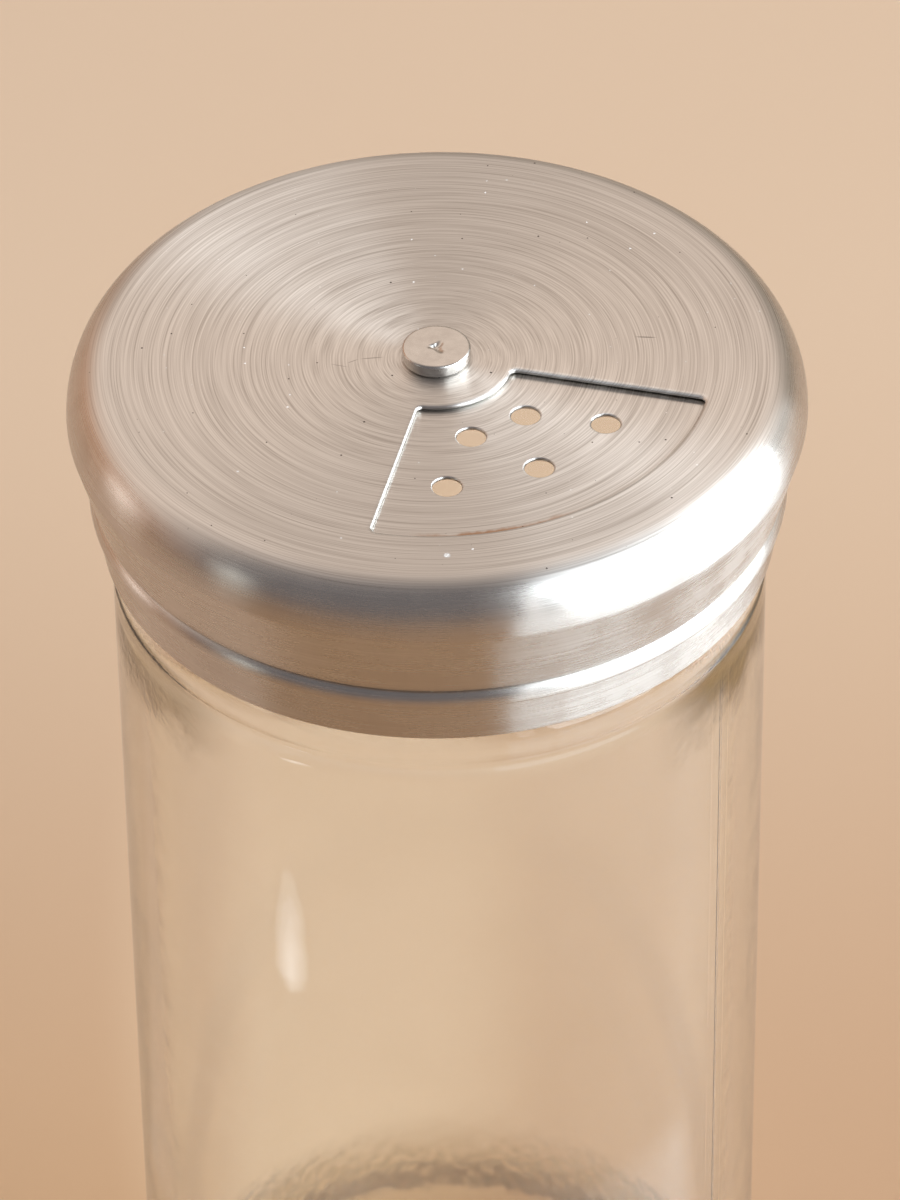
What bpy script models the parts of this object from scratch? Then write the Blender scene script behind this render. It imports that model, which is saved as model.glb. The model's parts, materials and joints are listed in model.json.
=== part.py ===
"""Glass spice shaker with a rotating dial lid.

Metres, +Z up, origin at the centre of the jar's foot. The lid is two nested
pressed steel caps on one rivet. The inner cap screws on the jar and carries a
perforated deck. The outer cap turns on the rivet, and its window uncovers one
quarter of the deck at a time: fine holes, coarse holes, a pouring slot or a
blank quarter that closes the jar. All pieces turn or slide about the Z axis.
"""

import math

import bmesh
import bpy

MM = 0.001

# Jar, pressed glass
JAR_RADIUS = 29.6 * MM
JAR_HEIGHT = 133.0 * MM
JAR_WALL = 2.6 * MM
FLOOR_THICKNESS = 7.5 * MM
FLOOR_CROWN = 1.0 * MM
FLOOR_CORNER = 11.0 * MM
HEEL_RADIUS = 4.2 * MM
FOOT_WIDTH = 3.6 * MM
PUNT_RISE = 2.4 * MM
NECK_STEP = 2.0 * MM
NECK_HEIGHT = 15.6 * MM
NECK_WALL = 2.4 * MM
SHOULDER_DROP = 2.6 * MM
INNER_SHOULDER_DROP = 6.0 * MM
RIM_ROUND = 0.9 * MM

# Thread, the same ridge on the neck and in the screw cap
THREAD_PITCH = 4.0 * MM
THREAD_DEPTH = 1.3 * MM
THREAD_WIDTH = 2.0 * MM
THREAD_RIM_DROP = 2.9 * MM
THREAD_CLEARANCE = 0.9 * MM
THREAD_TURNS = 1.15
THREAD_SEAT_SHARE = 0.36
THREAD_FADE_SHARE = 0.12

# Sheet steel and the fits between resting pieces
SHEET = 0.4 * MM
SEAT_GAP = 0.2 * MM
EMBED = 0.2 * MM

# Sealing liner
LINER_THICKNESS = 1.4 * MM
LINER_OVERHANG = 0.6 * MM
LINER_MOUTH_LAP = 0.3 * MM

# Inner screw cap
CAP_CORNER = 1.4 * MM
BEAD_HEIGHT = 1.85 * MM
BEAD_PROUD = 1.15 * MM
BEAD_UNDERCUT_SHARE = 0.2
BAND_HEIGHT = 4.1 * MM
BAND_PROUD = 0.35 * MM
BAND_TAPER = 0.12 * MM
BAND_END_GAP = 0.2 * MM

# Outer dial cap
DIAL_SIDE_GAP = 0.5 * MM
DIAL_END_GAP = 0.1 * MM
DIAL_FLARE = 1.9 * MM
DIAL_SHOULDER_WIDTH = 3.6 * MM
DIAL_SHOULDER_DROP = 5.0 * MM

# Window in the dial and pattern in the deck, angles from +X seen from above
WINDOW_MIDDLE = math.radians(-59.2)
WINDOW_SPAN = math.radians(89.6)
WINDOW_HUB_MARGIN = 3.8 * MM
WINDOW_EDGE_MARGIN = 4.95 * MM
WINDOW_CORNER = 0.6 * MM
QUARTER = math.radians(90.0)
FINE_HOLE_RADIUS = 1.3 * MM
FINE_INNER_ANGLES = (math.radians(-15.0), math.radians(15.0))
FINE_OUTER_ANGLES = (math.radians(-28.3), 0.0, math.radians(28.3))
INNER_RING_SHARE = 0.224
OUTER_RING_SHARE = 0.588
COARSE_HOLE_RADIUS = 2.2 * MM
COARSE_INNER_ANGLES = (0.0,)
COARSE_OUTER_ANGLES = (math.radians(-24.0), math.radians(24.0))
SLOT_SPAN = math.radians(60.0)
SLOT_START_SHARE = 0.2
SLOT_END_SHARE = 0.8
SLOT_CORNER = 1.5 * MM

# Rivet stack through both caps
SHANK_RADIUS = 1.5 * MM
SHANK_CLEARANCE = 0.2 * MM
HEAD_RADIUS = 3.075 * MM
HEAD_HEIGHT = 1.15 * MM
HEAD_ROUND = 0.3 * MM
SPRING_RADIUS = 4.2 * MM
SPRING_THICKNESS = 0.3 * MM
SPRING_RISE = 0.35 * MM
WASHER_RADIUS = 4.6 * MM
WASHER_THICKNESS = 0.5 * MM
TAIL_RADIUS = 2.5 * MM
TAIL_HEIGHT = 0.9 * MM

# Facets and tolerances of the model
SEGMENTS = 48
SMALL_SEGMENTS = 24
RIDGE_STEPS_A_TURN = 40
OVERRUN = 2.0 * MM
MERGE = 0.001 * MM
SMOOTH_ANGLE = math.radians(35.0)

# Worked-out radii, from the neck outwards
NECK_RADIUS = JAR_RADIUS - NECK_STEP
MOUTH_RADIUS = NECK_RADIUS - NECK_WALL
CAP_BORE_RADIUS = NECK_RADIUS + THREAD_DEPTH + THREAD_CLEARANCE
CAP_RADIUS = CAP_BORE_RADIUS + SHEET
DIAL_MOUTH_RADIUS = CAP_RADIUS + DIAL_SIDE_GAP + SHEET
DIAL_RADIUS = DIAL_MOUTH_RADIUS + DIAL_FLARE
DIAL_FLAT_RADIUS = DIAL_RADIUS - DIAL_SHOULDER_WIDTH
BORE_RADIUS = SHANK_RADIUS + SHANK_CLEARANCE
WINDOW_INNER = HEAD_RADIUS + WINDOW_HUB_MARGIN
WINDOW_OUTER = DIAL_FLAT_RADIUS - WINDOW_EDGE_MARGIN

# Worked-out heights above the foot, from the rim upwards
NECK_BASE_Z = JAR_HEIGHT - NECK_HEIGHT
LINER_Z = JAR_HEIGHT + SEAT_GAP
DECK_Z = LINER_Z + LINER_THICKNESS + SEAT_GAP + SHEET
DIAL_Z = DECK_Z + SEAT_GAP + SHEET
CAP_BOTTOM_Z = NECK_BASE_Z + BAND_END_GAP
BEAD_TOP_Z = CAP_BOTTOM_Z + BAND_HEIGHT + BEAD_HEIGHT
DIAL_BOTTOM_Z = BEAD_TOP_Z + DIAL_END_GAP
SPRING_Z = DECK_Z - SHEET - SEAT_GAP
WASHER_Z = SPRING_Z - SPRING_THICKNESS - SPRING_RISE - SEAT_GAP
TAIL_Z = WASHER_Z - WASHER_THICKNESS - SEAT_GAP


def clear_scene():
    """Remove whatever the scene holds."""
    for item in list(bpy.data.objects):
        bpy.data.objects.remove(item, do_unlink=True)


def make_collection(name):
    """Return a new collection linked to the scene."""
    collection = bpy.data.collections.new(name)
    bpy.context.scene.collection.children.link(collection)
    return collection


def make_material(name, colour, roughness, metallic=0.0, transmission=0.0):
    """Return a Principled material."""
    material = bpy.data.materials.new(name)
    material.use_nodes = True
    shader = material.node_tree.nodes["Principled BSDF"]
    shader.inputs["Base Color"].default_value = (*colour, 1.0)
    shader.inputs["Roughness"].default_value = roughness
    shader.inputs["Metallic"].default_value = metallic
    shader.inputs["Transmission Weight"].default_value = transmission
    return material


def arc(centre, radii, start, end, steps):
    """Return points on an elliptical arc, its angles in degrees from +X towards +Z."""
    points = []
    for step in range(steps + 1):
        angle = math.radians(start + (end - start) * step / steps)
        points.append((centre[0] + radii[0] * math.cos(angle), centre[1] + radii[1] * math.sin(angle)))
    return points


def add_object(name, mesh, collection, material=None):
    """Return a new object that shows a mesh."""
    piece = bpy.data.objects.new(name, mesh)
    collection.objects.link(piece)
    if material:
        mesh.materials.append(material)
    return piece


def lathe(name, profile, segments, collection, material, closed=False):
    """Turn a profile of (radius, height) points about Z with a Screw modifier."""
    mesh = bpy.data.meshes.new(name)
    edges = [(index, index + 1) for index in range(len(profile) - 1)]
    if closed:
        edges.append((len(profile) - 1, 0))
    mesh.from_pydata([(radius, 0.0, height) for radius, height in profile], edges, [])
    piece = add_object(name, mesh, collection, material)
    screw = piece.modifiers.new("turn", "SCREW")
    screw.steps = segments
    screw.render_steps = segments
    screw.use_merge_vertices = True
    screw.merge_threshold = MERGE
    screw.use_smooth_shade = True
    return piece


def give_thickness(piece, thickness):
    """Thicken an open surface inwards."""
    solidify = piece.modifiers.new("sheet", "SOLIDIFY")
    solidify.thickness = thickness
    solidify.offset = -1.0
    solidify.use_even_offset = True


def combine(piece, tool, operation):
    """Cut a piece by a tool, or join the tool to it."""
    boolean = piece.modifiers.new(tool.name, "BOOLEAN")
    boolean.operation = operation
    boolean.object = tool
    tool.parent = piece
    tool.hide_render = True
    tool.display_type = "WIRE"


def drill(name, radius, place, low, high, collection):
    """Return a round cutter that runs from one height to another."""
    shape = bmesh.new()
    bmesh.ops.create_cone(
        shape,
        cap_ends=True,
        segments=SMALL_SEGMENTS,
        radius1=radius,
        radius2=radius,
        depth=high - low,
    )
    middle = (low + high) / 2
    bmesh.ops.translate(shape, verts=shape.verts, vec=(place[0], place[1], middle))
    mesh = bpy.data.meshes.new(name)
    shape.to_mesh(mesh)
    shape.free()
    return add_object(name, mesh, collection)


def sector_cutter(name, radii, middle, span, corner, low, high, collection):
    """Return a cutter shaped as a sector of a ring, with rounded upright corners."""
    steps = max(2, round(SEGMENTS * span / math.tau))
    angles = [middle - span / 2 + span * step / steps for step in range(steps + 1)]
    outline = [(radii[1] * math.cos(angle), radii[1] * math.sin(angle)) for angle in angles]
    outline += [(radii[0] * math.cos(angle), radii[0] * math.sin(angle)) for angle in reversed(angles)]
    shape = bmesh.new()
    face = shape.faces.new([shape.verts.new((x, y, low)) for x, y in outline])
    lifted = bmesh.ops.extrude_face_region(shape, geom=[face])["geom"]
    raised = [item for item in lifted if isinstance(item, bmesh.types.BMVert)]
    bmesh.ops.translate(shape, verts=raised, vec=(0.0, 0.0, high - low))
    bmesh.ops.recalc_face_normals(shape, faces=shape.faces)
    mesh = bpy.data.meshes.new(name)
    shape.to_mesh(mesh)
    shape.free()
    cutter = add_object(name, mesh, collection)
    bevel = cutter.modifiers.new("corners", "BEVEL")
    bevel.width = corner
    bevel.segments = 3
    bevel.limit_method = "ANGLE"
    bevel.angle_limit = SMOOTH_ANGLE
    return cutter


def thread_ridge(name, wall_radius, start_z, side, collection):
    """Return a helical ridge on a wall, facing outwards (side 1) or inwards (side -1).

    The ridge is a closed mesh that reaches a little into the wall and fades
    out at both ends. It climbs as it turns about +Z, so it is right-handed.
    """
    section = bpy.data.curves.new(name + "_section", "CURVE")
    section.dimensions = "2D"
    spline = section.splines.new("POLY")
    half_round = arc((0.0, 0.0), (THREAD_DEPTH, THREAD_WIDTH / 2), -90, 90, 4)
    outline = [(-EMBED, -THREAD_WIDTH / 2)] + half_round + [(-EMBED, THREAD_WIDTH / 2)]
    spline.points.add(len(outline) - 1)
    for point, (out, up) in zip(spline.points, outline):
        point.co = (side * out, up, 0.0, 1.0)
    spline.use_cyclic_u = True
    guide = add_object(name + "_section", section, collection)

    path = bpy.data.curves.new(name + "_path", "CURVE")
    path.dimensions = "3D"
    path.twist_mode = "Z_UP"
    path.bevel_mode = "OBJECT"
    path.bevel_object = guide
    path.use_fill_caps = True
    spline = path.splines.new("POLY")
    steps = round(RIDGE_STEPS_A_TURN * THREAD_TURNS)
    spline.points.add(steps)
    for step, point in enumerate(spline.points):
        share = step / steps
        angle = math.tau * THREAD_TURNS * share
        height = start_z + THREAD_PITCH * THREAD_TURNS * share
        point.co = (wall_radius * math.cos(angle), wall_radius * math.sin(angle), height, 1.0)
        fade = min(1.0, share / THREAD_FADE_SHARE, (1.0 - share) / THREAD_FADE_SHARE)
        point.radius = max(THREAD_FADE_SHARE, math.sin(fade * math.pi / 2))
    sweep = add_object(name + "_path", path, collection)

    graph = bpy.context.evaluated_depsgraph_get()
    mesh = bpy.data.meshes.new_from_object(sweep.evaluated_get(graph))
    shape = bmesh.new()
    shape.from_mesh(mesh)
    bmesh.ops.remove_doubles(shape, verts=shape.verts, dist=MERGE)
    bmesh.ops.recalc_face_normals(shape, faces=shape.faces)
    shape.to_mesh(mesh)
    shape.free()
    mesh.name = name
    ridge = add_object(name, mesh, collection)
    bpy.data.objects.remove(sweep)
    bpy.data.objects.remove(guide)
    return ridge


def place(piece, parent, height):
    """Hang a piece on an axis empty, its own origin at a height above the foot."""
    piece.parent = parent
    parent_height = parent.location.z if parent else 0.0
    if parent and parent.parent:
        parent_height += parent.parent.location.z
    piece.location = (0.0, 0.0, height - parent_height)


def make_axis(name, parent, height, collection):
    """Return an empty on the Z axis that carries the pieces that turn or lift there."""
    axis = bpy.data.objects.new(name, None)
    axis.empty_display_type = "SINGLE_ARROW"
    axis.empty_display_size = HEAD_RADIUS
    collection.objects.link(axis)
    place(axis, parent, height)
    return axis


def make_jar(collection, tools, glass):
    """Glass jar, its origin at the centre of the foot."""
    inner_radius = JAR_RADIUS - JAR_WALL
    foot_outer = JAR_RADIUS - HEEL_RADIUS
    foot_inner = foot_outer - FOOT_WIDTH
    inner_corner = (inner_radius - FLOOR_CORNER, FLOOR_THICKNESS + FLOOR_CORNER)
    inner_top = NECK_BASE_Z
    profile = [(0.0, FLOOR_THICKNESS + FLOOR_CROWN)]
    profile += [(inner_corner[0] / 2, FLOOR_THICKNESS + FLOOR_CROWN / 2)]
    profile += arc(inner_corner, (FLOOR_CORNER, FLOOR_CORNER), -90, 0, 7)
    inner_step = inner_radius - MOUTH_RADIUS
    profile += arc((MOUTH_RADIUS, inner_top - INNER_SHOULDER_DROP), (inner_step, INNER_SHOULDER_DROP), 0, 90, 3)
    profile += arc((MOUTH_RADIUS + RIM_ROUND, JAR_HEIGHT - RIM_ROUND), (RIM_ROUND, RIM_ROUND), 180, 90, 2)
    profile += arc((NECK_RADIUS - RIM_ROUND, JAR_HEIGHT - RIM_ROUND), (RIM_ROUND, RIM_ROUND), 90, 0, 2)
    profile += arc((NECK_RADIUS, NECK_BASE_Z - SHOULDER_DROP), (NECK_STEP, SHOULDER_DROP), 90, 0, 5)
    profile += arc((foot_outer, HEEL_RADIUS), (HEEL_RADIUS, HEEL_RADIUS), 0, -90, 5)
    profile += [(foot_inner, 0.0)]
    profile += arc((0.0, 0.0), (foot_inner - FOOT_WIDTH / 2, PUNT_RISE), 30, 90, 3)
    jar = lathe("glass_jar", profile, SEGMENTS, collection, glass)
    start_z = JAR_HEIGHT - THREAD_RIM_DROP - THREAD_PITCH * THREAD_TURNS
    ridge = thread_ridge("neck_thread", NECK_RADIUS, start_z, 1, tools)
    combine(jar, ridge, "UNION")
    place(jar, None, 0.0)
    return jar


def make_liner(collection, material, axis):
    """Flat ring that seals the jar's rim, its origin at its underside."""
    inner = MOUTH_RADIUS - LINER_MOUTH_LAP
    outer = NECK_RADIUS + LINER_OVERHANG
    edge = LINER_THICKNESS / 4
    profile = [(outer - edge, LINER_THICKNESS), (outer, LINER_THICKNESS - edge), (outer, edge), (outer - edge, 0.0)]
    profile += [(inner, 0.0), (inner, LINER_THICKNESS)]
    liner = lathe("sealing_liner", profile, SEGMENTS, collection, material, closed=True)
    place(liner, axis, LINER_Z)
    return liner


def ring_radius(share):
    """Return a radius in the deck's pattern, as a share of the window's depth."""
    return WINDOW_INNER + (WINDOW_OUTER - WINDOW_INNER) * share


def punch_holes(cap, label, middle, rings, hole_radius, tools):
    """Punch a group of round holes through the deck, ring by ring."""
    number = 0
    for share, angles in rings:
        for angle in angles:
            number += 1
            radius = ring_radius(share)
            spot = (radius * math.cos(middle + angle), radius * math.sin(middle + angle))
            tool = drill(f"{label}_{number}", hole_radius, spot, -SHEET - OVERRUN, OVERRUN, tools)
            combine(cap, tool, "DIFFERENCE")


def make_screw_cap(collection, tools, steel, axis):
    """Inner cap with the perforated deck, its origin at the deck's top."""
    corner = (CAP_RADIUS - CAP_CORNER, -CAP_CORNER)
    bead_top = BEAD_TOP_Z - DECK_Z
    band_top = bead_top - BEAD_HEIGHT
    band_radius = CAP_RADIUS + BAND_PROUD
    under = BEAD_HEIGHT * BEAD_UNDERCUT_SHARE
    profile = [(BORE_RADIUS, 0.0)]
    profile += arc(corner, (CAP_CORNER, CAP_CORNER), 90, 0, 3)
    profile += arc((CAP_RADIUS, band_top + under), (BEAD_PROUD, BEAD_HEIGHT - under), 90, 0, 4)
    profile += arc((band_radius, band_top + under), (BEAD_PROUD - BAND_PROUD, under), -45, -90, 1)
    profile += [(band_radius - BAND_TAPER, CAP_BOTTOM_Z - DECK_Z)]
    cap = lathe("inner_screw_cap", profile, SEGMENTS, collection, steel)
    give_thickness(cap, SHEET)

    fine_rings = ((INNER_RING_SHARE, FINE_INNER_ANGLES), (OUTER_RING_SHARE, FINE_OUTER_ANGLES))
    coarse_rings = ((INNER_RING_SHARE, COARSE_INNER_ANGLES), (OUTER_RING_SHARE, COARSE_OUTER_ANGLES))
    punch_holes(cap, "fine_hole", WINDOW_MIDDLE, fine_rings, FINE_HOLE_RADIUS, tools)
    punch_holes(cap, "coarse_hole", WINDOW_MIDDLE + QUARTER, coarse_rings, COARSE_HOLE_RADIUS, tools)
    slot_radii = (ring_radius(SLOT_START_SHARE), ring_radius(SLOT_END_SHARE))
    slot = sector_cutter(
        "pouring_slot",
        slot_radii,
        WINDOW_MIDDLE + 2 * QUARTER,
        SLOT_SPAN,
        SLOT_CORNER,
        -SHEET - OVERRUN,
        OVERRUN,
        tools,
    )
    combine(cap, slot, "DIFFERENCE")

    neck_start = JAR_HEIGHT - THREAD_RIM_DROP - THREAD_PITCH * THREAD_TURNS
    start_z = neck_start - THREAD_PITCH * THREAD_SEAT_SHARE - DECK_Z
    ridge = thread_ridge("cap_thread", CAP_BORE_RADIUS, start_z, -1, tools)
    combine(cap, ridge, "UNION")
    place(cap, axis, DECK_Z)
    return cap


def make_dial(collection, tools, steel, axis):
    """Outer cap with the window, its origin at its flat top."""
    shoulder = (DIAL_FLAT_RADIUS, -DIAL_SHOULDER_DROP)
    profile = [(BORE_RADIUS, 0.0)]
    profile += arc(shoulder, (DIAL_SHOULDER_WIDTH, DIAL_SHOULDER_DROP), 90, 0, 7)
    profile += [(DIAL_MOUTH_RADIUS, DIAL_BOTTOM_Z - DIAL_Z)]
    dial = lathe("outer_dial_cap", profile, SEGMENTS, collection, steel)
    give_thickness(dial, SHEET)
    window = sector_cutter(
        "window",
        (WINDOW_INNER, WINDOW_OUTER),
        WINDOW_MIDDLE,
        WINDOW_SPAN,
        WINDOW_CORNER,
        -SHEET - OVERRUN,
        OVERRUN,
        tools,
    )
    combine(dial, window, "DIFFERENCE")
    place(dial, axis, DIAL_Z)
    return dial


def make_rivet(collection, steel, axis):
    """Pivot rivet, its origin at the head's underside."""
    low = TAIL_Z - DIAL_Z - SEAT_GAP
    tail_low = low - TAIL_HEIGHT
    crown = HEAD_RADIUS - HEAD_ROUND
    profile = [(0.0, HEAD_HEIGHT), (crown, HEAD_HEIGHT)]
    profile += arc((crown, HEAD_HEIGHT / 2), (HEAD_ROUND, HEAD_HEIGHT / 2), 60, -90, 4)
    profile += [(SHANK_RADIUS, 0.0), (SHANK_RADIUS, low), (TAIL_RADIUS, low)]
    profile += arc((0.0, low - TAIL_HEIGHT / 3), (TAIL_RADIUS, tail_low - low + TAIL_HEIGHT / 3), 0, 90, 4)
    rivet = lathe("pivot_rivet", profile, SMALL_SEGMENTS, collection, steel)
    place(rivet, axis, DIAL_Z + SEAT_GAP)
    return rivet


def make_spring_washer(collection, steel, axis):
    """Conical washer that keeps a light drag on the dial, its origin at its top."""
    inner = BORE_RADIUS
    high = 0.0
    low = -SPRING_RISE
    profile = [(inner, high), (SPRING_RADIUS, low), (SPRING_RADIUS, low - SPRING_THICKNESS)]
    profile += [(inner, high - SPRING_THICKNESS)]
    washer = lathe("spring_washer", profile, SMALL_SEGMENTS, collection, steel, closed=True)
    place(washer, axis, SPRING_Z)
    return washer


def make_flat_washer(collection, steel, axis):
    """Flat washer under the spring, its origin at its top."""
    profile = [(BORE_RADIUS, 0.0), (WASHER_RADIUS, 0.0), (WASHER_RADIUS, -WASHER_THICKNESS)]
    profile += [(BORE_RADIUS, -WASHER_THICKNESS)]
    washer = lathe("flat_washer", profile, SMALL_SEGMENTS, collection, steel, closed=True)
    place(washer, axis, WASHER_Z)
    return washer


def main():
    """Build the shaker."""
    clear_scene()
    parts = make_collection("spice_shaker")
    tools = make_collection("cutters")
    glass = make_material("jar_glass", (0.93, 0.95, 0.90), 0.03, transmission=1.0)
    top_steel = make_material("dial_steel", (0.62, 0.60, 0.57), 0.28, metallic=1.0)
    deck_steel = make_material("deck_steel", (0.60, 0.58, 0.55), 0.25, metallic=1.0)
    rivet_steel = make_material("rivet_steel", (0.66, 0.65, 0.62), 0.18, metallic=1.0)
    washer_steel = make_material("washer_steel", (0.50, 0.49, 0.47), 0.35, metallic=1.0)
    silicone = make_material("liner_silicone", (0.84, 0.84, 0.80), 0.55)

    lid_axis = make_axis("lid_axis", None, JAR_HEIGHT, parts)
    dial_axis = make_axis("dial_axis", lid_axis, DIAL_Z, parts)
    make_jar(parts, tools, glass)
    make_liner(parts, silicone, lid_axis)
    make_screw_cap(parts, tools, deck_steel, lid_axis)
    make_dial(parts, tools, top_steel, dial_axis)
    make_rivet(parts, rivet_steel, lid_axis)
    make_spring_washer(parts, washer_steel, lid_axis)
    make_flat_washer(parts, washer_steel, lid_axis)


main()
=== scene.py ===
"""Looks of a glass spice shaker with a rotating dial lid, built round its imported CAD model.

Metres, +Z up, in the CAD model's own frame. Bearings run from +X towards +Y, in
radians on the object and in degrees in the studio. Each sub-assembly is a class
that holds its sizes and builds and dresses its pieces. Each finish is a frozen
dataclass. Node graphs are written as Python expressions on wires.
"""

import json
import logging
import math
from collections.abc import Callable, Iterable
from dataclasses import dataclass
from enum import Enum
from typing import Optional, Union

import bmesh
import bpy
from mathutils import Matrix, Vector

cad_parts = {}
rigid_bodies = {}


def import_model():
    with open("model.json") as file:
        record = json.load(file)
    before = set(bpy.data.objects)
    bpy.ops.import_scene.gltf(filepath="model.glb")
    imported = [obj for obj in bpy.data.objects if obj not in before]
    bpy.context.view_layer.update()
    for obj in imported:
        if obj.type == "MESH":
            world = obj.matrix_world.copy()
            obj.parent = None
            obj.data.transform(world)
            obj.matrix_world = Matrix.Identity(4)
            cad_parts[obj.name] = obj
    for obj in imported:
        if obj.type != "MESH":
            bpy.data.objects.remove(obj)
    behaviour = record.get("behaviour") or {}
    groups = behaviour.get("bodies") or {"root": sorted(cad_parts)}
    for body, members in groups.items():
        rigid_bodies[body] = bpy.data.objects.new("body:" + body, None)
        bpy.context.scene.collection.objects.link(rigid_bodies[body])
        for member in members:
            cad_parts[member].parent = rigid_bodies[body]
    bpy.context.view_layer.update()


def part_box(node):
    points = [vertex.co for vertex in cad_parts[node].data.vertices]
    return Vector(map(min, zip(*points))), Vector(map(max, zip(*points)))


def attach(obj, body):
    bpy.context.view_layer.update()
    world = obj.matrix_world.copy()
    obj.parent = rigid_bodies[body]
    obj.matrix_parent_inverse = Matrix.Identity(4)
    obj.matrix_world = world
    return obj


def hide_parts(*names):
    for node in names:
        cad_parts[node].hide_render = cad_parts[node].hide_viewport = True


for item in list(bpy.data.objects):
    bpy.data.objects.remove(item, do_unlink=True)
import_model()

LOG = logging.getLogger("spice_shaker")
MM = 0.001
MERGE = 0.001 * MM
SMOOTH_ANGLE = math.radians(40.0)
PLATE_TILT = math.radians(0.2)
SEGMENTS = 256
SMALL_SEGMENTS = 96
CAP_SHEET = 0.4 * MM
RIVET_BORE = 1.7 * MM
HEAD_GAP = 0.04 * MM
LINER_OVERHANG = 0.3 * MM
SPRING_THICKNESS = 0.3 * MM
THREAD_PITCH = 4.0 * MM
THREAD_SEAT = 0.36 * THREAD_PITCH

Point = tuple[float, float]
Span = tuple[float, float]
Colour = tuple[float, float, float]
Sizes = dict[str, Union[int, float]]
Number = Union["Wire", float, int]


class Body(Enum):
    """The bodies that move against each other."""

    JAR = "jar"
    SEAL = "seal"
    SCREW_CAP = "screw_cap"
    DIAL = "dial"


class Slot(Enum):
    """The record's material slots."""

    GLASS = "jar_glass"
    SILICONE = "liner_silicone"
    DECK = "deck_steel"
    DIAL = "dial_steel"
    RIVET = "rivet_steel"
    WASHER = "washer_steel"


class LampShape(Enum):
    """The outlines that a studio lamp has."""

    BOX = "RECTANGLE"
    OVAL = "ELLIPSE"


def binary(operation: str, reflected: bool = False) -> Callable[["Wire", Number], "Wire"]:
    """Make a method of Wire that adds one Math node.

    Args:
        operation: The Math node's operation.
        reflected: Whether the other operand comes first.

    Returns:
        The method.
    """

    def method(self: "Wire", other: Number) -> "Wire":
        """Return the operation on the two operands."""
        return self.graph.maths(operation, *((other, self) if reflected else (self, other)))

    return method


class Wire:
    """An output socket that Python's operators work on, with one Math node for each."""

    __add__, __radd__ = binary("ADD"), binary("ADD", reflected=True)
    __sub__, __rsub__ = binary("SUBTRACT"), binary("SUBTRACT", reflected=True)
    __mul__, __rmul__ = binary("MULTIPLY"), binary("MULTIPLY", reflected=True)
    __truediv__, __rtruediv__ = binary("DIVIDE"), binary("DIVIDE", reflected=True)
    __lt__, __gt__ = binary("LESS_THAN"), binary("GREATER_THAN")

    def __init__(self, graph: "Graph", socket: bpy.types.NodeSocket) -> None:
        """Wrap a socket of a graph."""
        self.graph = graph
        self.socket = socket

    def __abs__(self) -> "Wire":
        """Return the value without its sign."""
        return self.graph.maths("ABSOLUTE", self)

    def out(self, name: str) -> "Wire":
        """Return another output of the same node."""
        return Wire(self.graph, self.socket.node.outputs[name])


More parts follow.
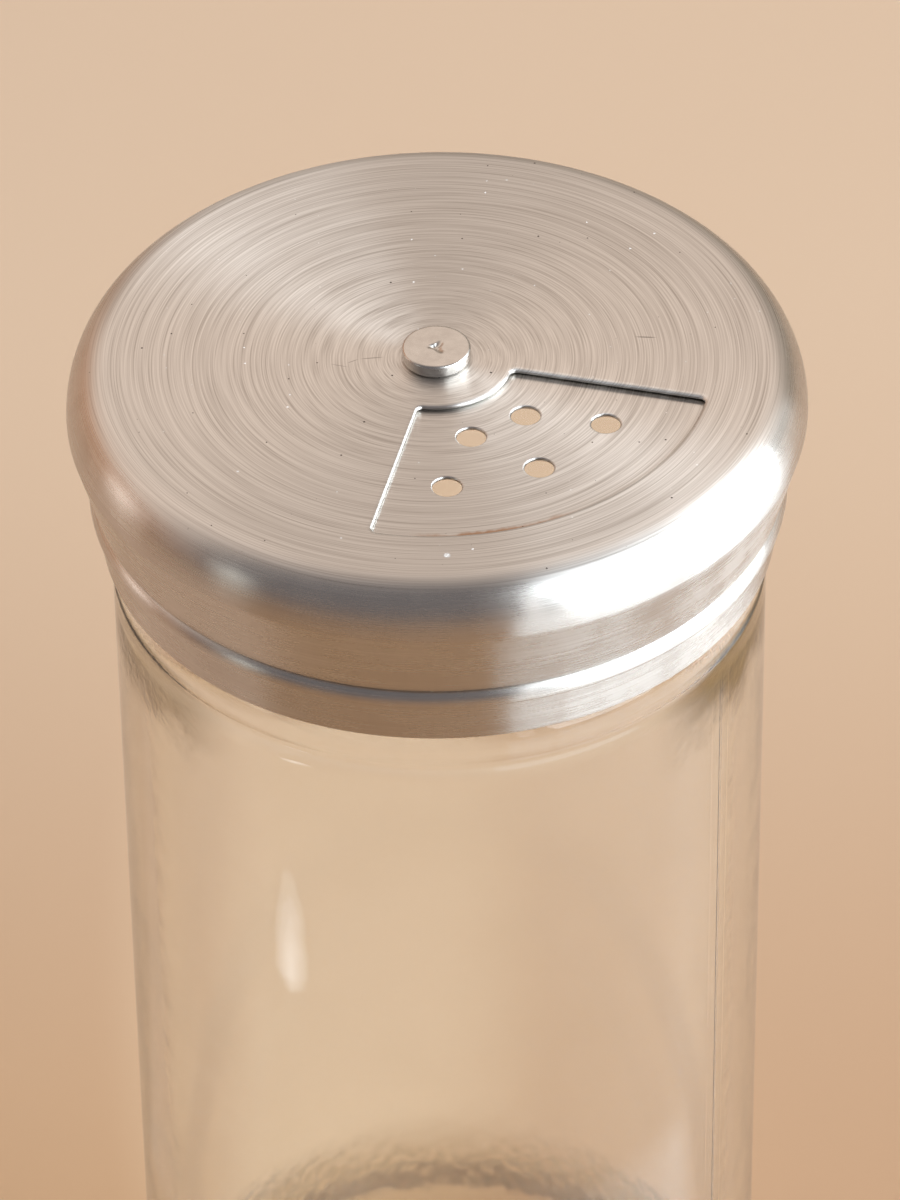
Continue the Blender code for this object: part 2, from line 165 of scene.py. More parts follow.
class Graph:
    """A node tree that Python expressions add nodes to."""

    def __init__(self, tree: bpy.types.NodeTree) -> None:
        """Wrap a node tree."""
        self.tree = tree

    def node(
        self,
        kind: str,
        settings: Optional[dict] = None,
        inputs: Optional[dict] = None,
        output: Union[int, str] = 0,
    ) -> Wire:
        """Add a node of any kind.

        Args:
            kind: The node's type name.
            settings: Its own properties, which are set first.
            inputs: Values or wires, or a list of wires, by the name or number of a socket.
            output: Name of the output to return, or 0 for the first one in use.

        Returns:
            The output's wire. A node without outputs gives its first input.
        """
        node = self.tree.nodes.new(kind)
        for key, value in (settings or {}).items():
            setattr(node, key, value)
        for key, value in (inputs or {}).items():
            socket = self.pick(node.inputs, key)
            for one in value if isinstance(value, list) else [value]:
                if isinstance(one, Wire):
                    self.tree.links.new(one.socket, socket)
                else:
                    socket.default_value = one
        return Wire(self, self.pick(node.outputs, output) if node.outputs else node.inputs[0])

    @staticmethod
    def pick(sockets: Iterable[bpy.types.NodeSocket], key: Union[int, str]) -> bpy.types.NodeSocket:
        """Find one of a node's sockets.

        Args:
            sockets: The node's inputs or outputs.
            key: The socket's name, or its number among those in use.

        Returns:
            The socket.
        """
        used = [socket for socket in sockets if socket.enabled]
        if isinstance(key, int):
            return used[key]
        return next(socket for socket in used if socket.name == key)

    def maths(self, operation: str, *values: Number) -> Wire:
        """Return a Math node's result."""
        return self.node("ShaderNodeMath", {"operation": operation}, dict(enumerate(values)))

    def length(self, x: Wire, y: Wire) -> Wire:
        """Return the length of a flat vector."""
        return self.maths("SQRT", x * x + y * y)

    def vector(self, x: Number, y: Number, z: Number) -> Wire:
        """Return a vector made of three numbers."""
        return self.node("ShaderNodeCombineXYZ", None, {"X": x, "Y": y, "Z": z})

    def split(self, vector: Wire) -> tuple[Wire, Wire, Wire]:
        """Return a vector's three numbers."""
        x = self.node("ShaderNodeSeparateXYZ", None, {"Vector": vector})
        return x, x.out("Y"), x.out("Z")

    def scale(self, vector: Wire, factor: Number) -> Wire:
        """Return a vector times a number."""
        values = {"Vector": vector, "Scale": factor}
        return self.node("ShaderNodeVectorMath", {"operation": "SCALE"}, values)

    def smooth(self, value: Wire, low: float, high: float) -> Wire:
        """Return a smooth step from 0 at low to 1 at high, which may lie below low."""
        values = {"Value": value, "From Min": low, "From Max": high}
        return self.node("ShaderNodeMapRange", {"interpolation_type": "SMOOTHSTEP"}, values)

    def noise(
        self, vector: Wire, scale: float, detail: float = 2.0, distortion: float = 0.0
    ) -> Wire:
        """Return noise from 0 to 1, mostly near one half."""
        values = {"Vector": vector, "Scale": scale, "Detail": detail, "Distortion": distortion}
        return self.node("ShaderNodeTexNoise", None, values)

    def mix(self, share: Number, first: Union[Wire, Colour], second: Union[Wire, Colour]) -> Wire:
        """Return two colours mixed by the second's share."""
        values = {"Factor": share, "A": rgba(first), "B": rgba(second)}
        return self.node("ShaderNodeMix", {"data_type": "RGBA"}, values)

    def bump(self, height: Wire, depth: float) -> Wire:
        """Return normals that a height makes uneven by a depth."""
        values = {"Strength": 1.0, "Distance": depth, "Height": height}
        return self.node("ShaderNodeBump", None, values)

    def principled(self, values: dict) -> Wire:
        """Return the general shader with some of its sockets set."""
        return self.node("ShaderNodeBsdfPrincipled", None, values)

    def either(self, share: Wire, first: Wire, second: Wire) -> Wire:
        """Return two shaders mixed by the second's share."""
        return self.node("ShaderNodeMixShader", None, {0: share, 1: first, 2: second})

    def seen(self) -> Wire:
        """Return 1 for what the camera sees, straight or through glass, else 0."""
        seen = self.node("ShaderNodeLightPath", output="Is Camera Ray")
        return self.maths("MAXIMUM", seen, seen.out("Is Transmission Ray"))


class Recipe(Graph):
    """A Geometry Nodes tree with named inputs, run on a seed mesh to make a plain mesh."""

    def __init__(self, name: str, sizes: Sizes) -> None:
        """Make the tree and its inputs.

        Args:
            name: The tree's name.
            sizes: Each input's name and value. A whole number makes an integer input.
        """
        super().__init__(bpy.data.node_groups.new(name, "GeometryNodeTree"))
        self.sizes = sizes
        sockets = self.tree.interface
        sockets.new_socket("Geometry", in_out="INPUT", socket_type="NodeSocketGeometry")
        for label, value in sizes.items():
            kind = "NodeSocketInt" if isinstance(value, int) else "NodeSocketFloat"
            sockets.new_socket(label, in_out="INPUT", socket_type=kind)
        sockets.new_socket("Material", in_out="INPUT", socket_type="NodeSocketMaterial")
        sockets.new_socket("Geometry", in_out="OUTPUT", socket_type="NodeSocketGeometry")
        self.given = self.node("NodeGroupInput")

    def size(self, label: str) -> Wire:
        """Return the wire of a named input."""
        return self.given.out(label)

    def position(self) -> tuple[Wire, Wire, Wire, Wire]:
        """Return each point's three coordinates and its distance from the Z axis."""
        x, y, z = self.split(self.node("GeometryNodeInputPosition"))
        return x, y, z, self.length(x, y)

    def move(self, geometry: Wire, offset: Wire) -> Wire:
        """Return geometry with each point moved by an offset."""
        return self.node("GeometryNodeSetPosition", None, {"Geometry": geometry, "Offset": offset})

    def lift(self, geometry: Wire, height: Wire) -> Wire:
        """Return geometry moved up by one height."""
        values = {"Geometry": geometry, "Translation": self.vector(0.0, 0.0, height)}
        return self.node("GeometryNodeTransform", None, values)

    def join(self, parts: list[Wire]) -> Wire:
        """Return several geometries as one."""
        return self.node("GeometryNodeJoinGeometry", None, {"Geometry": parts})

    def drawn(self) -> Wire:
        """Return the seed mesh's edges as curves."""
        return self.node("GeometryNodeMeshToCurve", None, {"Mesh": self.size("Geometry")})

    def circle(self, steps: str, radius: Wire) -> Wire:
        """Return a circle with a named number of steps."""
        values = {"Resolution": self.size(steps), "Radius": radius}
        return self.node("GeometryNodeCurvePrimitiveCircle", None, values)

    def sweep(self, rail: Wire, section: Wire) -> Wire:
        """Return the skin that a section leaves along a rail."""
        values = {"Curve": rail, "Profile Curve": section}
        return self.node("GeometryNodeCurveToMesh", None, values)

    def close(self, geometry: Wire) -> None:
        """End the tree with a welded mesh in its material.

        Args:
            geometry: What the tree makes.
        """
        real = self.node("GeometryNodeRealizeInstances", None, {"Geometry": geometry})
        values = {"Geometry": real, "Distance": MERGE}
        welded = self.node("GeometryNodeMergeByDistance", None, values)
        values = {"Geometry": welded, "Material": self.size("Material")}
        dressed = self.node("GeometryNodeSetMaterial", None, values)
        self.node("NodeGroupOutput", None, {"Geometry": dressed})

    def run(self, seed: bpy.types.Mesh, material: bpy.types.Material) -> bpy.types.Mesh:
        """Run the tree once.

        Args:
            seed: The mesh that goes in. It is used up.
            material: What the new mesh is made of.

        Returns:
            The plain mesh that comes out.
        """
        carrier = place(self.tree.name, seed)
        modifier = carrier.modifiers.new(self.tree.name, "NODES")
        modifier.node_group = self.tree
        values = {**self.sizes, "Material": material}
        for socket in self.tree.interface.items_tree:
            if socket.in_out == "INPUT" and socket.name in values:
                modifier[socket.identifier] = values[socket.name]
        graph = bpy.context.evaluated_depsgraph_get()
        mesh = bpy.data.meshes.new_from_object(carrier.evaluated_get(graph))
        carrier.modifiers.remove(modifier)
        bpy.data.objects.remove(carrier)
        bpy.data.meshes.remove(seed)
        return mesh


def rgba(colour: Union[Wire, Colour]) -> Union[Wire, tuple[float, float, float, float]]:
    """Return a colour with its alpha, or the wire as it is."""
    return colour if isinstance(colour, Wire) else (*colour, 1.0)


def place(name: str, data: bpy.types.ID) -> bpy.types.Object:
    """Put a new object in the scene.

    Args:
        name: Its name.
        data: The mesh, lamp or camera that it shows.

    Returns:
        The object.
    """
    thing = bpy.data.objects.new(name, data)
    bpy.context.scene.collection.objects.link(thing)
    return thing


def empty_tree(owner: Union[bpy.types.Material, bpy.types.World]) -> bpy.types.NodeTree:
    """Clear the nodes of a material or world.

    Args:
        owner: The material or world.

    Returns:
        Its node tree.
    """
    owner.use_nodes = True
    owner.node_tree.nodes.clear()
    return owner.node_tree


def arc(centre: Point, radii: Point, start: float, end: float, steps: int) -> list[Point]:
    """Draw an elliptical arc.

    Args:
        centre: Its centre, as a radius and a height.
        radii: Its two radii.
        start: Angle of the first point in degrees, from outwards towards up.
        end: Angle of the last point in degrees.
        steps: Number of straight steps.

    Returns:
        The points, one more than the steps.
    """
    (x, y), (wide, high) = centre, radii
    angles = [math.radians(start + (end - start) * step / steps) for step in range(steps + 1)]
    return [(x + wide * math.cos(angle), y + high * math.sin(angle)) for angle in angles]


def bend(centre: Point, radius: float, start: float, end: float, steps: int) -> list[Point]:
    """Return an arc of a circle, drawn as an elliptical one is."""
    return arc(centre, (radius, radius), start, end, steps)


def between(start: Point, end: Point, share: float) -> Point:
    """Return the point at a share of the way along a line."""
    return (start[0] + (end[0] - start[0]) * share, start[1] + (end[1] - start[1]) * share)


def straight(start: Point, end: Point, spacing: float) -> list[Point]:
    """Return points along a line at about a spacing, both ends included."""
    steps = max(1, round(math.dist(start, end) / spacing))
    return [between(start, end, step / steps) for step in range(steps + 1)]


def tidy(points: list[Point]) -> list[Point]:
    """Drop the points that repeat the one before.

    Args:
        points: A profile.

    Returns:
        The points that are left.
    """
    kept = points[:1]
    for point in points[1:]:
        if math.dist(point, kept[-1]) > MERGE:
            kept.append(point)
    return kept


def inset(points: list[Point], depth: float) -> list[Point]:
    """Move a profile into the sheet that it covers.

    Args:
        points: A profile that runs outwards and then down, sheet on its inner side.
        depth: How far each point moves, square to the profile.

    Returns:
        As many points, in the same order.
    """
    moved = []
    for index, (radius, height) in enumerate(points):
        before = points[max(index - 1, 0)]
        after = points[min(index + 1, len(points) - 1)]
        run = math.dist(before, after)
        out = (-(after[1] - before[1]) / run, (after[0] - before[0]) / run)
        moved.append((radius - depth * out[0], height - depth * out[1]))
    return moved


def sheet_section(outside: list[Point], sheet: float, hem: float) -> list[Point]:
    """Give a sheet's outer side a cut edge and an inner side.

    Args:
        outside: The outer side, from its top down to the cut edge.
        sheet: The sheet's thickness.
        hem: How far the cut edge rounds out.

    Returns:
        The open section down the outer side, round the edge and up the inner side.
    """
    steps = 10
    inside = inset(outside, sheet)
    inside[0] = (outside[0][0], outside[0][1] - sheet)
    first, last = outside[-1], inside[-1]
    run = math.dist(outside[-2], first)
    down = ((first[0] - outside[-2][0]) / run, (first[1] - outside[-2][1]) / run)
    across = ((last[0] - first[0]) / sheet, (last[1] - first[1]) / sheet)
    x, y = between(first, last, 0.5)
    edge = []
    for step in range(steps + 1):
        angle = math.pi * step / steps
        side, drop = -math.cos(angle) * sheet / 2, (math.sin(angle) - 1.0) * hem
        edge.append((x + across[0] * side + down[0] * drop, y + across[1] * side + down[1] * drop))
    return tidy(outside[:-1] + edge + inside[-2::-1])


def line_mesh(
    name: str, lines: list[list[tuple[float, float, float]]], closed: bool
) -> bpy.types.Mesh:
    """Make a mesh of edges alone.

    Args:
        name: The mesh's name.
        lines: One or more lines of points.
        closed: Whether each line is a loop.

    Returns:
        The mesh.
    """
    mesh = bpy.data.meshes.new(name)
    places, edges = [], []
    for line in lines:
        first = len(places)
        places += line
        edges += [(index, index + 1) for index in range(first, len(places) - 1)]
        if closed:
            edges.append((len(places) - 1, first))
    mesh.from_pydata(places, edges, [])
    return mesh


def weld(name: str, meshes: list[bpy.types.Mesh]) -> bpy.types.Mesh:
    """Join meshes to one with its faces out, smooth but for its creases and flat plates.

    Args:
        name: The new mesh's name.
        meshes: Meshes that meet along shared edges. They are used up.

    Returns:
        The joined mesh, in the first mesh's material.
    """
    shape = bmesh.new()
    for mesh in meshes:
        shape.from_mesh(mesh)
    bmesh.ops.remove_doubles(shape, verts=shape.verts, dist=MERGE)
    bmesh.ops.dissolve_degenerate(shape, edges=shape.edges, dist=MERGE / 10)
    bmesh.ops.recalc_face_normals(shape, faces=shape.faces)
    level = math.cos(PLATE_TILT)
    for face in shape.faces:
        face.smooth = True
        face.material_index = 0
    for edge in shape.edges:
        plates = [face for face in edge.link_faces if abs(face.normal.z) > level]
        bends = len(plates) == 1 and len(edge.link_faces) == 2
        edge.smooth = not bends and edge.calc_face_angle(0.0) < SMOOTH_ANGLE
    joined = bpy.data.meshes.new(name + "_welded")
    shape.to_mesh(joined)
    shape.free()
    joined.materials.append(next(material for material in meshes[0].materials if material))
    for mesh in meshes:
        bpy.data.meshes.remove(mesh)
    joined.name = name
    return joined


def add_piece(
    mesh: bpy.types.Mesh, body: Body, nodes: Iterable[str] = ()
) -> bpy.types.Object:
    """Show a mesh as a piece of the object.

    Args:
        mesh: The piece's mesh, in place, which also gives its name.
        body: The body that it moves with.
        nodes: CAD nodes that it stands for.

    Returns:
        The new object.
    """
    piece = place(mesh.name, mesh)
    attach(piece, body.value)
    if nodes:
        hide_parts(*nodes)
    LOG.info("%s: %d faces on body %s", piece.name, len(mesh.polygons), body.value)
    return piece


class Rule:
    """A rule that moves the points of a turned mesh."""

    def sizes(self) -> Sizes:
        """Return the named inputs that the rule reads."""
        return {}

    def apply(self, recipe: Recipe, geometry: Wire) -> Wire:
        """Return the geometry with its points moved."""
        return geometry


@dataclass(frozen=True)
class Thread(Rule):
    """A right-hand ridge on one or more walls, raised outwards (side 1) or inwards (side -1)."""

    wall_radii: tuple[float, ...]
    start: float
    side: int
    pitch: float = THREAD_PITCH
    depth: float = 1.3 * MM
    width: float = 2.6 * MM
    turns: float = 1.15
    fade_share: float = 0.12
    tolerance: float = 0.05 * MM

    def sizes(self) -> Sizes:
        """Return the thread's named inputs."""
        names = ("Thread Start", "Thread Pitch", "Thread Depth")
        return dict(zip(names, (self.start, self.pitch, self.depth)))

    def apply(self, recipe: Recipe, geometry: Wire) -> Wire:
        """Push the walls out or in where the height is near the helix.

        Args:
            recipe: The mesh's tree.
            geometry: The turned mesh.

        Returns:
            The mesh with its thread.
        """
        x, y, z, radius = recipe.position()
        lap_share = recipe.maths("FRACT", recipe.maths("ARCTAN2", y, x) / math.tau + 1.0)
        ridge = 0.0
        for lap in range(math.ceil(self.turns)):
            share = (lap_share + lap) / self.turns
            climb = recipe.size("Thread Pitch") * (lap_share + lap)
            off = abs(z - recipe.size("Thread Start") - climb)
            crest = recipe.smooth(off, self.width / 2, 0.0)
            fade_in = recipe.smooth(share, 0.0, self.fade_share)
            fade_out = recipe.smooth(share, 1.0, 1.0 - self.fade_share)
            ridge = recipe.maths("MAXIMUM", ridge, crest * fade_in * fade_out)
        on_wall = sum(abs(radius - wall) < self.tolerance for wall in self.wall_radii)
        push = ridge * on_wall * recipe.size("Thread Depth") * self.side / radius
        return recipe.move(geometry, recipe.vector(x * push, y * push, 0.0))


@dataclass(frozen=True)
class Ripple(Rule):
    """The uneven inner skin of pressed glass: long waves up the wall and dents on the floor."""

    inner_radius: float
    floor: float
    top: float
    wall_wave: float = 0.02 * MM
    wall_scale: float = 90.0
    wall_stretch: float = 0.3
    dent_depth: float = 0.08 * MM
    dent_scale: float = 300.0
    tolerance: float = 0.1 * MM

    def sizes(self) -> Sizes:
        """Return the ripple's named inputs."""
        return {"Wall Wave": self.wall_wave, "Dent Depth": self.dent_depth}

    def apply(self, recipe: Recipe, geometry: Wire) -> Wire:
        """Move the inner skin along its normals by two noises.

        Args:
            recipe: The mesh's tree.
            geometry: The turned mesh.

        Returns:
            The mesh with its skin uneven.
        """
        x, y, z, radius = recipe.position()
        in_bore = radius < self.inner_radius + self.tolerance
        inside = in_bore * (z > self.floor - self.tolerance)
        below_neck = recipe.smooth(z, self.top, self.floor + (self.top - self.floor) / 2)
        near_floor = recipe.smooth(z, self.floor + self.inner_radius, self.floor)
        drawn_out = recipe.vector(x, y, z * self.wall_stretch)
        waves = recipe.noise(drawn_out, self.wall_scale, 1.0) - 0.5
        dents = recipe.noise(recipe.vector(x, y, z), self.dent_scale, 1.0) - 0.5
        waves = waves * recipe.size("Wall Wave") * below_neck
        amount = waves + dents * recipe.size("Dent Depth") * near_floor
        normal = recipe.node("GeometryNodeInputNormal")
        return recipe.move(geometry, recipe.scale(normal, amount * inside))


@dataclass(frozen=True)
class Peening(Rule):
    """The worked face of a rivet: a punch mark at its centre and a hammered skin."""

    top: float
    mark_radius: float = 0.7 * MM
    mark_depth: float = 0.30 * MM
    mark_corners: int = 3
    mark_swing: float = 0.35
    skin_depth: float = 0.015 * MM
    skin_scale: float = 900.0

    def sizes(self) -> Sizes:
        """Return the peening's named inputs."""
        return {"Mark Depth": self.mark_depth, "Skin Depth": self.skin_depth}

    def apply(self, recipe: Recipe, geometry: Wire) -> Wire:
        """Sink the top by a mark with a ragged edge and by a fine noise.

        Args:
            recipe: The mesh's tree.
            geometry: The turned mesh.

        Returns:
            The mesh with its face worked.
        """
        x, y, z, radius = recipe.position()
        point = recipe.vector(x, y, z)
        turned = recipe.maths("ARCTAN2", y, x) * self.mark_corners
        ragged = radius * (1.0 + recipe.maths("COSINE", turned) * self.mark_swing)
        ragged = ragged + (recipe.noise(point, self.skin_scale, 2.0) - 0.5) * self.mark_radius
        mark = recipe.smooth(ragged, self.mark_radius, 0.0)
        on_top = recipe.smooth(z, self.top - self.mark_depth, self.top)
        skin = recipe.noise(point, self.skin_scale, 3.0)
        sink = (mark * recipe.size("Mark Depth") + skin * recipe.size("Skin Depth")) * on_top
        return recipe.move(geometry, recipe.vector(0.0, 0.0, sink * -1.0))


@dataclass(frozen=True)
class Rules(Rule):
    """Several rules, one after another."""

    steps: tuple[Rule, ...]

    def sizes(self) -> Sizes:
        """Return the named inputs of all the rules."""
        return {label: value for rule in self.steps for label, value in rule.sizes().items()}

    def apply(self, recipe: Recipe, geometry: Wire) -> Wire:
        """Move the points by each rule in turn.

        Args:
            recipe: The mesh's tree.
            geometry: The turned mesh.

        Returns:
            The mesh that the last rule leaves.
        """
        for rule in self.steps:
            geometry = rule.apply(recipe, geometry)
        return geometry


def turn(
    name: str,
    profile: list[Point],
    material: bpy.types.Material,
    segments: int,
    closed: bool = False,
    rule: Optional[Rule] = None,
) -> bpy.types.Mesh:
    """Turn a profile about Z with Geometry Nodes.

    Args:
        name: The mesh's name.
        profile: Radii and heights in order.
        material: What the mesh is made of.
        segments: Steps round the axis.
        closed: Whether the last point joins the first.
        rule: A rule that moves the turned points.

    Returns:
        The turned mesh.
    """
    rule = rule or Rule()
    rail_radius = 1.0 * MM
    recipe = Recipe(name, {"Segments": segments, "Rail Radius": rail_radius, **rule.sizes()})
    rail = recipe.circle("Segments", recipe.size("Rail Radius"))
    recipe.close(rule.apply(recipe, recipe.sweep(rail, recipe.drawn())))
    # A profile's Y points down the rail's axis, so heights go in with their sign turned.
    points = [(radius - rail_radius, -height, 0.0) for radius, height in tidy(profile)]
    return recipe.run(line_mesh(name, [points], closed), material)


@dataclass(frozen=True)
class Opening:
    """A sector of a ring with round corners, cut through a plate."""

    inner: float
    outer: float
    middle: float
    span: float
    corner: float
    arc_steps: int = 60
    corner_steps: int = 6

    def outline(self, growth: float) -> list[Point]:
        """Draw the outline anticlockwise.

        Args:
            growth: How far it grows on all sides into the plate round it.

        Returns:
            The outline's points in the plate, seen from above.
        """
        half = math.degrees(self.span) / 2
        far, near = self.outer - self.corner, self.inner + self.corner
        wide = half - math.degrees(math.asin(self.corner / far))
        narrow = half - math.degrees(math.asin(self.corner / near))
        rounding = self.corner + growth
        stations = (
            (0.0, 0.0, self.outer + growth, -wide, wide, self.arc_steps),
            (far, wide, rounding, wide, half + 90, self.corner_steps),
            (near, narrow, rounding, half + 90, narrow + 180, self.corner_steps),
            (0.0, 0.0, self.inner - growth, narrow, -narrow, self.arc_steps),
            (near, -narrow, rounding, 180 - narrow, 270 - half, self.corner_steps),
            (far, -wide, rounding, -90 - half, -wide, self.corner_steps),
        )
        points = []
        for reach, bearing, radius, start, end, steps in stations:
            turned = math.radians(bearing)
            centre = (reach * math.cos(turned), reach * math.sin(turned))
            points += bend(centre, radius, start, end, steps)
        cos, sin = math.cos(self.middle), math.sin(self.middle)
        return tidy([(x * cos - y * sin, x * sin + y * cos) for x, y in points])[:-1]


@dataclass(frozen=True)
class Ring:
    """Round holes on one circle about the Z axis."""

    count: int
    radius: float
    middle: float
    step: float
    hole: float

    def sizes(self, number: int) -> Sizes:
        """Return the ring's named inputs, as one of a plate's rings."""
        words = ("count", "radius", "middle", "step", "hole")
        return {f"Ring {number} {word.title()}": getattr(self, word) for word in words}


@dataclass(frozen=True)
class Plate:
    """A flat round plate with a bore, holes and openings, all with rolled edges."""

    radius: float
    bore: float
    sheet: float
    lip: float
    openings: tuple[Opening, ...]
    rings: tuple[Ring, ...]
    hole_steps: int = 40
    lip_steps: int = 9

    def sizes(self) -> Sizes:
        """Name the inputs of the plate's tree.

        Returns:
            Each input's name and value.
        """
        named = {"Segments": SEGMENTS, "Hole Steps": self.hole_steps, "Plate Radius": self.radius}
        named |= {"Bore Radius": self.bore, "Sheet": self.sheet, "Lip": self.lip}
        for number, ring in enumerate(self.rings):
            named |= ring.sizes(number)
        return named

    def holes(self, recipe: Recipe, number: int) -> Wire:
        """Set one ring's outlines round the axis by their index.

        Args:
            recipe: The plate's tree.
            number: The ring's number.

        Returns:
            The outlines as curves.
        """
        count, radius, middle, step, hole = (
            recipe.size(label) for label in self.rings[number].sizes(number)
        )
        values = {"Count": count, "Offset": (0.0, 0.0, 0.0)}
        dots = recipe.node("GeometryNodeMeshLine", None, values)
        index = recipe.node("GeometryNodeInputIndex")
        angle = middle + (index - (count - 1.0) / 2.0) * step
        x, y = radius * recipe.maths("COSINE", angle), radius * recipe.maths("SINE", angle)
        values = {"Geometry": dots, "Position": recipe.vector(x, y, 0.0)}
        spots = recipe.node("GeometryNodeSetPosition", None, values)
        outline = recipe.circle("Hole Steps", hole + recipe.size("Lip"))
        values = {"Points": spots, "Instance": outline}
        placed = recipe.node("GeometryNodeInstanceOnPoints", None, values)
        return recipe.node("GeometryNodeRealizeInstances", None, {"Geometry": placed})

    def rolled_edge(self, recipe: Recipe, rails: Wire) -> Wire:
        """Run a half-round edge along every outline.

        Args:
            recipe: The plate's tree.
            rails: The outlines, at the plate's top.

        Returns:
            The edges' skin between the plate's two sides.
        """
        sheet = recipe.size("Sheet")
        values = {
            "Resolution": self.lip_steps,
            "Radius": 1.0,
            "Start Angle": math.pi / 2,
            "Sweep Angle": math.pi,
        }
        half_round = recipe.node("GeometryNodeCurveArc", {"mode": "RADIUS"}, values)
        scale = recipe.vector(recipe.size("Lip"), sheet / 2.0, 1.0)
        values = {"Geometry": half_round, "Scale": scale}
        section = recipe.node("GeometryNodeTransform", None, values)
        return recipe.lift(recipe.sweep(rails, section), sheet / -2.0)

    def build(self, name: str, material: bpy.types.Material, top: float) -> bpy.types.Mesh:
        """Build the plate.

        Args:
            name: The mesh's name.
            material: What it is made of.
            top: The height of its upper side.

        Returns:
            The plate's mesh, open at its rim.
        """
        recipe = Recipe(name, self.sizes())
        bore = recipe.circle("Hole Steps", recipe.size("Bore Radius") + recipe.size("Lip"))
        rings = [self.holes(recipe, number) for number in range(len(self.rings))]
        rails = recipe.join([recipe.drawn(), bore] + rings)
        rim = recipe.circle("Segments", recipe.size("Plate Radius"))
        values = {"Curve": recipe.join([rails, rim])}
        upper = recipe.node("GeometryNodeFillCurve", {"mode": "TRIANGLES"}, values)
        lower = recipe.lift(upper, recipe.size("Sheet") * -1.0)
        recipe.close(recipe.join([upper, lower, self.rolled_edge(recipe, rails)]))
        loops = [[(x, y, 0.0) for x, y in one.outline(self.lip)] for one in self.openings]
        mesh = recipe.run(line_mesh(name, loops, closed=True), material)
        mesh.transform(Matrix.Translation((0.0, 0.0, top)))
        return mesh


class Surface(Graph):
    """A material's graph, with Object coordinates read as turns and distances about the Z axis."""

    def __init__(self, tree: bpy.types.NodeTree) -> None:
        """Add the coordinate nodes.

        Args:
            tree: The material's emptied node tree.
        """
        super().__init__(tree)
        self.place = self.node("ShaderNodeTexCoord", output="Object")
        self.x, self.y, self.z = self.split(self.place)
        self.radius = self.length(self.x, self.y)
        self.cos = self.x / self.radius
        self.sin = self.y / self.radius
        self.along = self.radius - self.z

    def lines(self, pitch: float, breaks: float, detail: float) -> Wire:
        """Return noise drawn out round the axis to lines at a pitch, which a turn breaks up."""
        point = self.vector(self.cos * breaks, self.sin * breaks, self.along / pitch)
        return self.noise(point, 1.0, detail)

    def toward(self, bearing: float) -> Wire:
        """Return the cosine of the turn from a bearing."""
        return self.cos * math.cos(bearing) + self.sin * math.sin(bearing)


@dataclass(frozen=True)
class Finish:
    """A named finish that a node material shows."""

    name: str

    def shader(self, graph: Surface) -> Wire:
        """Return the finish's shader."""
        raise NotImplementedError

    def material(self) -> bpy.types.Material:
        """Make the node material.

        Returns:
            The material.
        """
        material = bpy.data.materials.new(self.name)
        graph = Surface(empty_tree(material))
        graph.node("ShaderNodeOutputMaterial", None, {"Surface": self.shader(graph)})
        return material


@dataclass(frozen=True)
class Mark:
    """A short straight scratch or hair on a flat face, at a place seen from above."""

    x: float
    y: float
    bearing: float
    length: float
    width: float
    bright: bool
    strength: float = 1.0
    core_share: float = 0.2

    def mask(self, graph: Surface) -> Wire:
        """Shade the mark.

        Args:
            graph: The material's graph.

        Returns:
            The mark's strength on it and 0 off it.
        """
        cos, sin = math.cos(self.bearing), math.sin(self.bearing)
        off_x, off_y = graph.x - self.x, graph.y - self.y
        along = (off_x * cos + off_y * sin) / (self.length / 2)
        aside = (off_y * cos - off_x * sin) / (self.width / 2)
        mark = graph.smooth(along * along + aside * aside, 1.0, self.core_share)
        return mark * self.strength


@dataclass(frozen=True)
class Stain:
    """A brown arc that dried along an edge of a flat face."""

    radius: float
    width: float
    bearing: float
    span: float
    strength: float = 0.8
    grain_scale: float = 900.0

    def mask(self, graph: Surface) -> Wire:
        """Shade the stain.

        Args:
            graph: The material's graph.

        Returns:
            The stain's strength on the arc and 0 off it.
        """
        grain = graph.noise(graph.place, self.grain_scale, 2.0) - 0.5
        ragged = graph.radius + grain * self.width
        band = graph.smooth(abs(ragged - self.radius), self.width / 2, 0.0)
        sector = graph.smooth(graph.toward(self.bearing), math.cos(self.span / 2), 1.0)
        return band * sector * self.strength


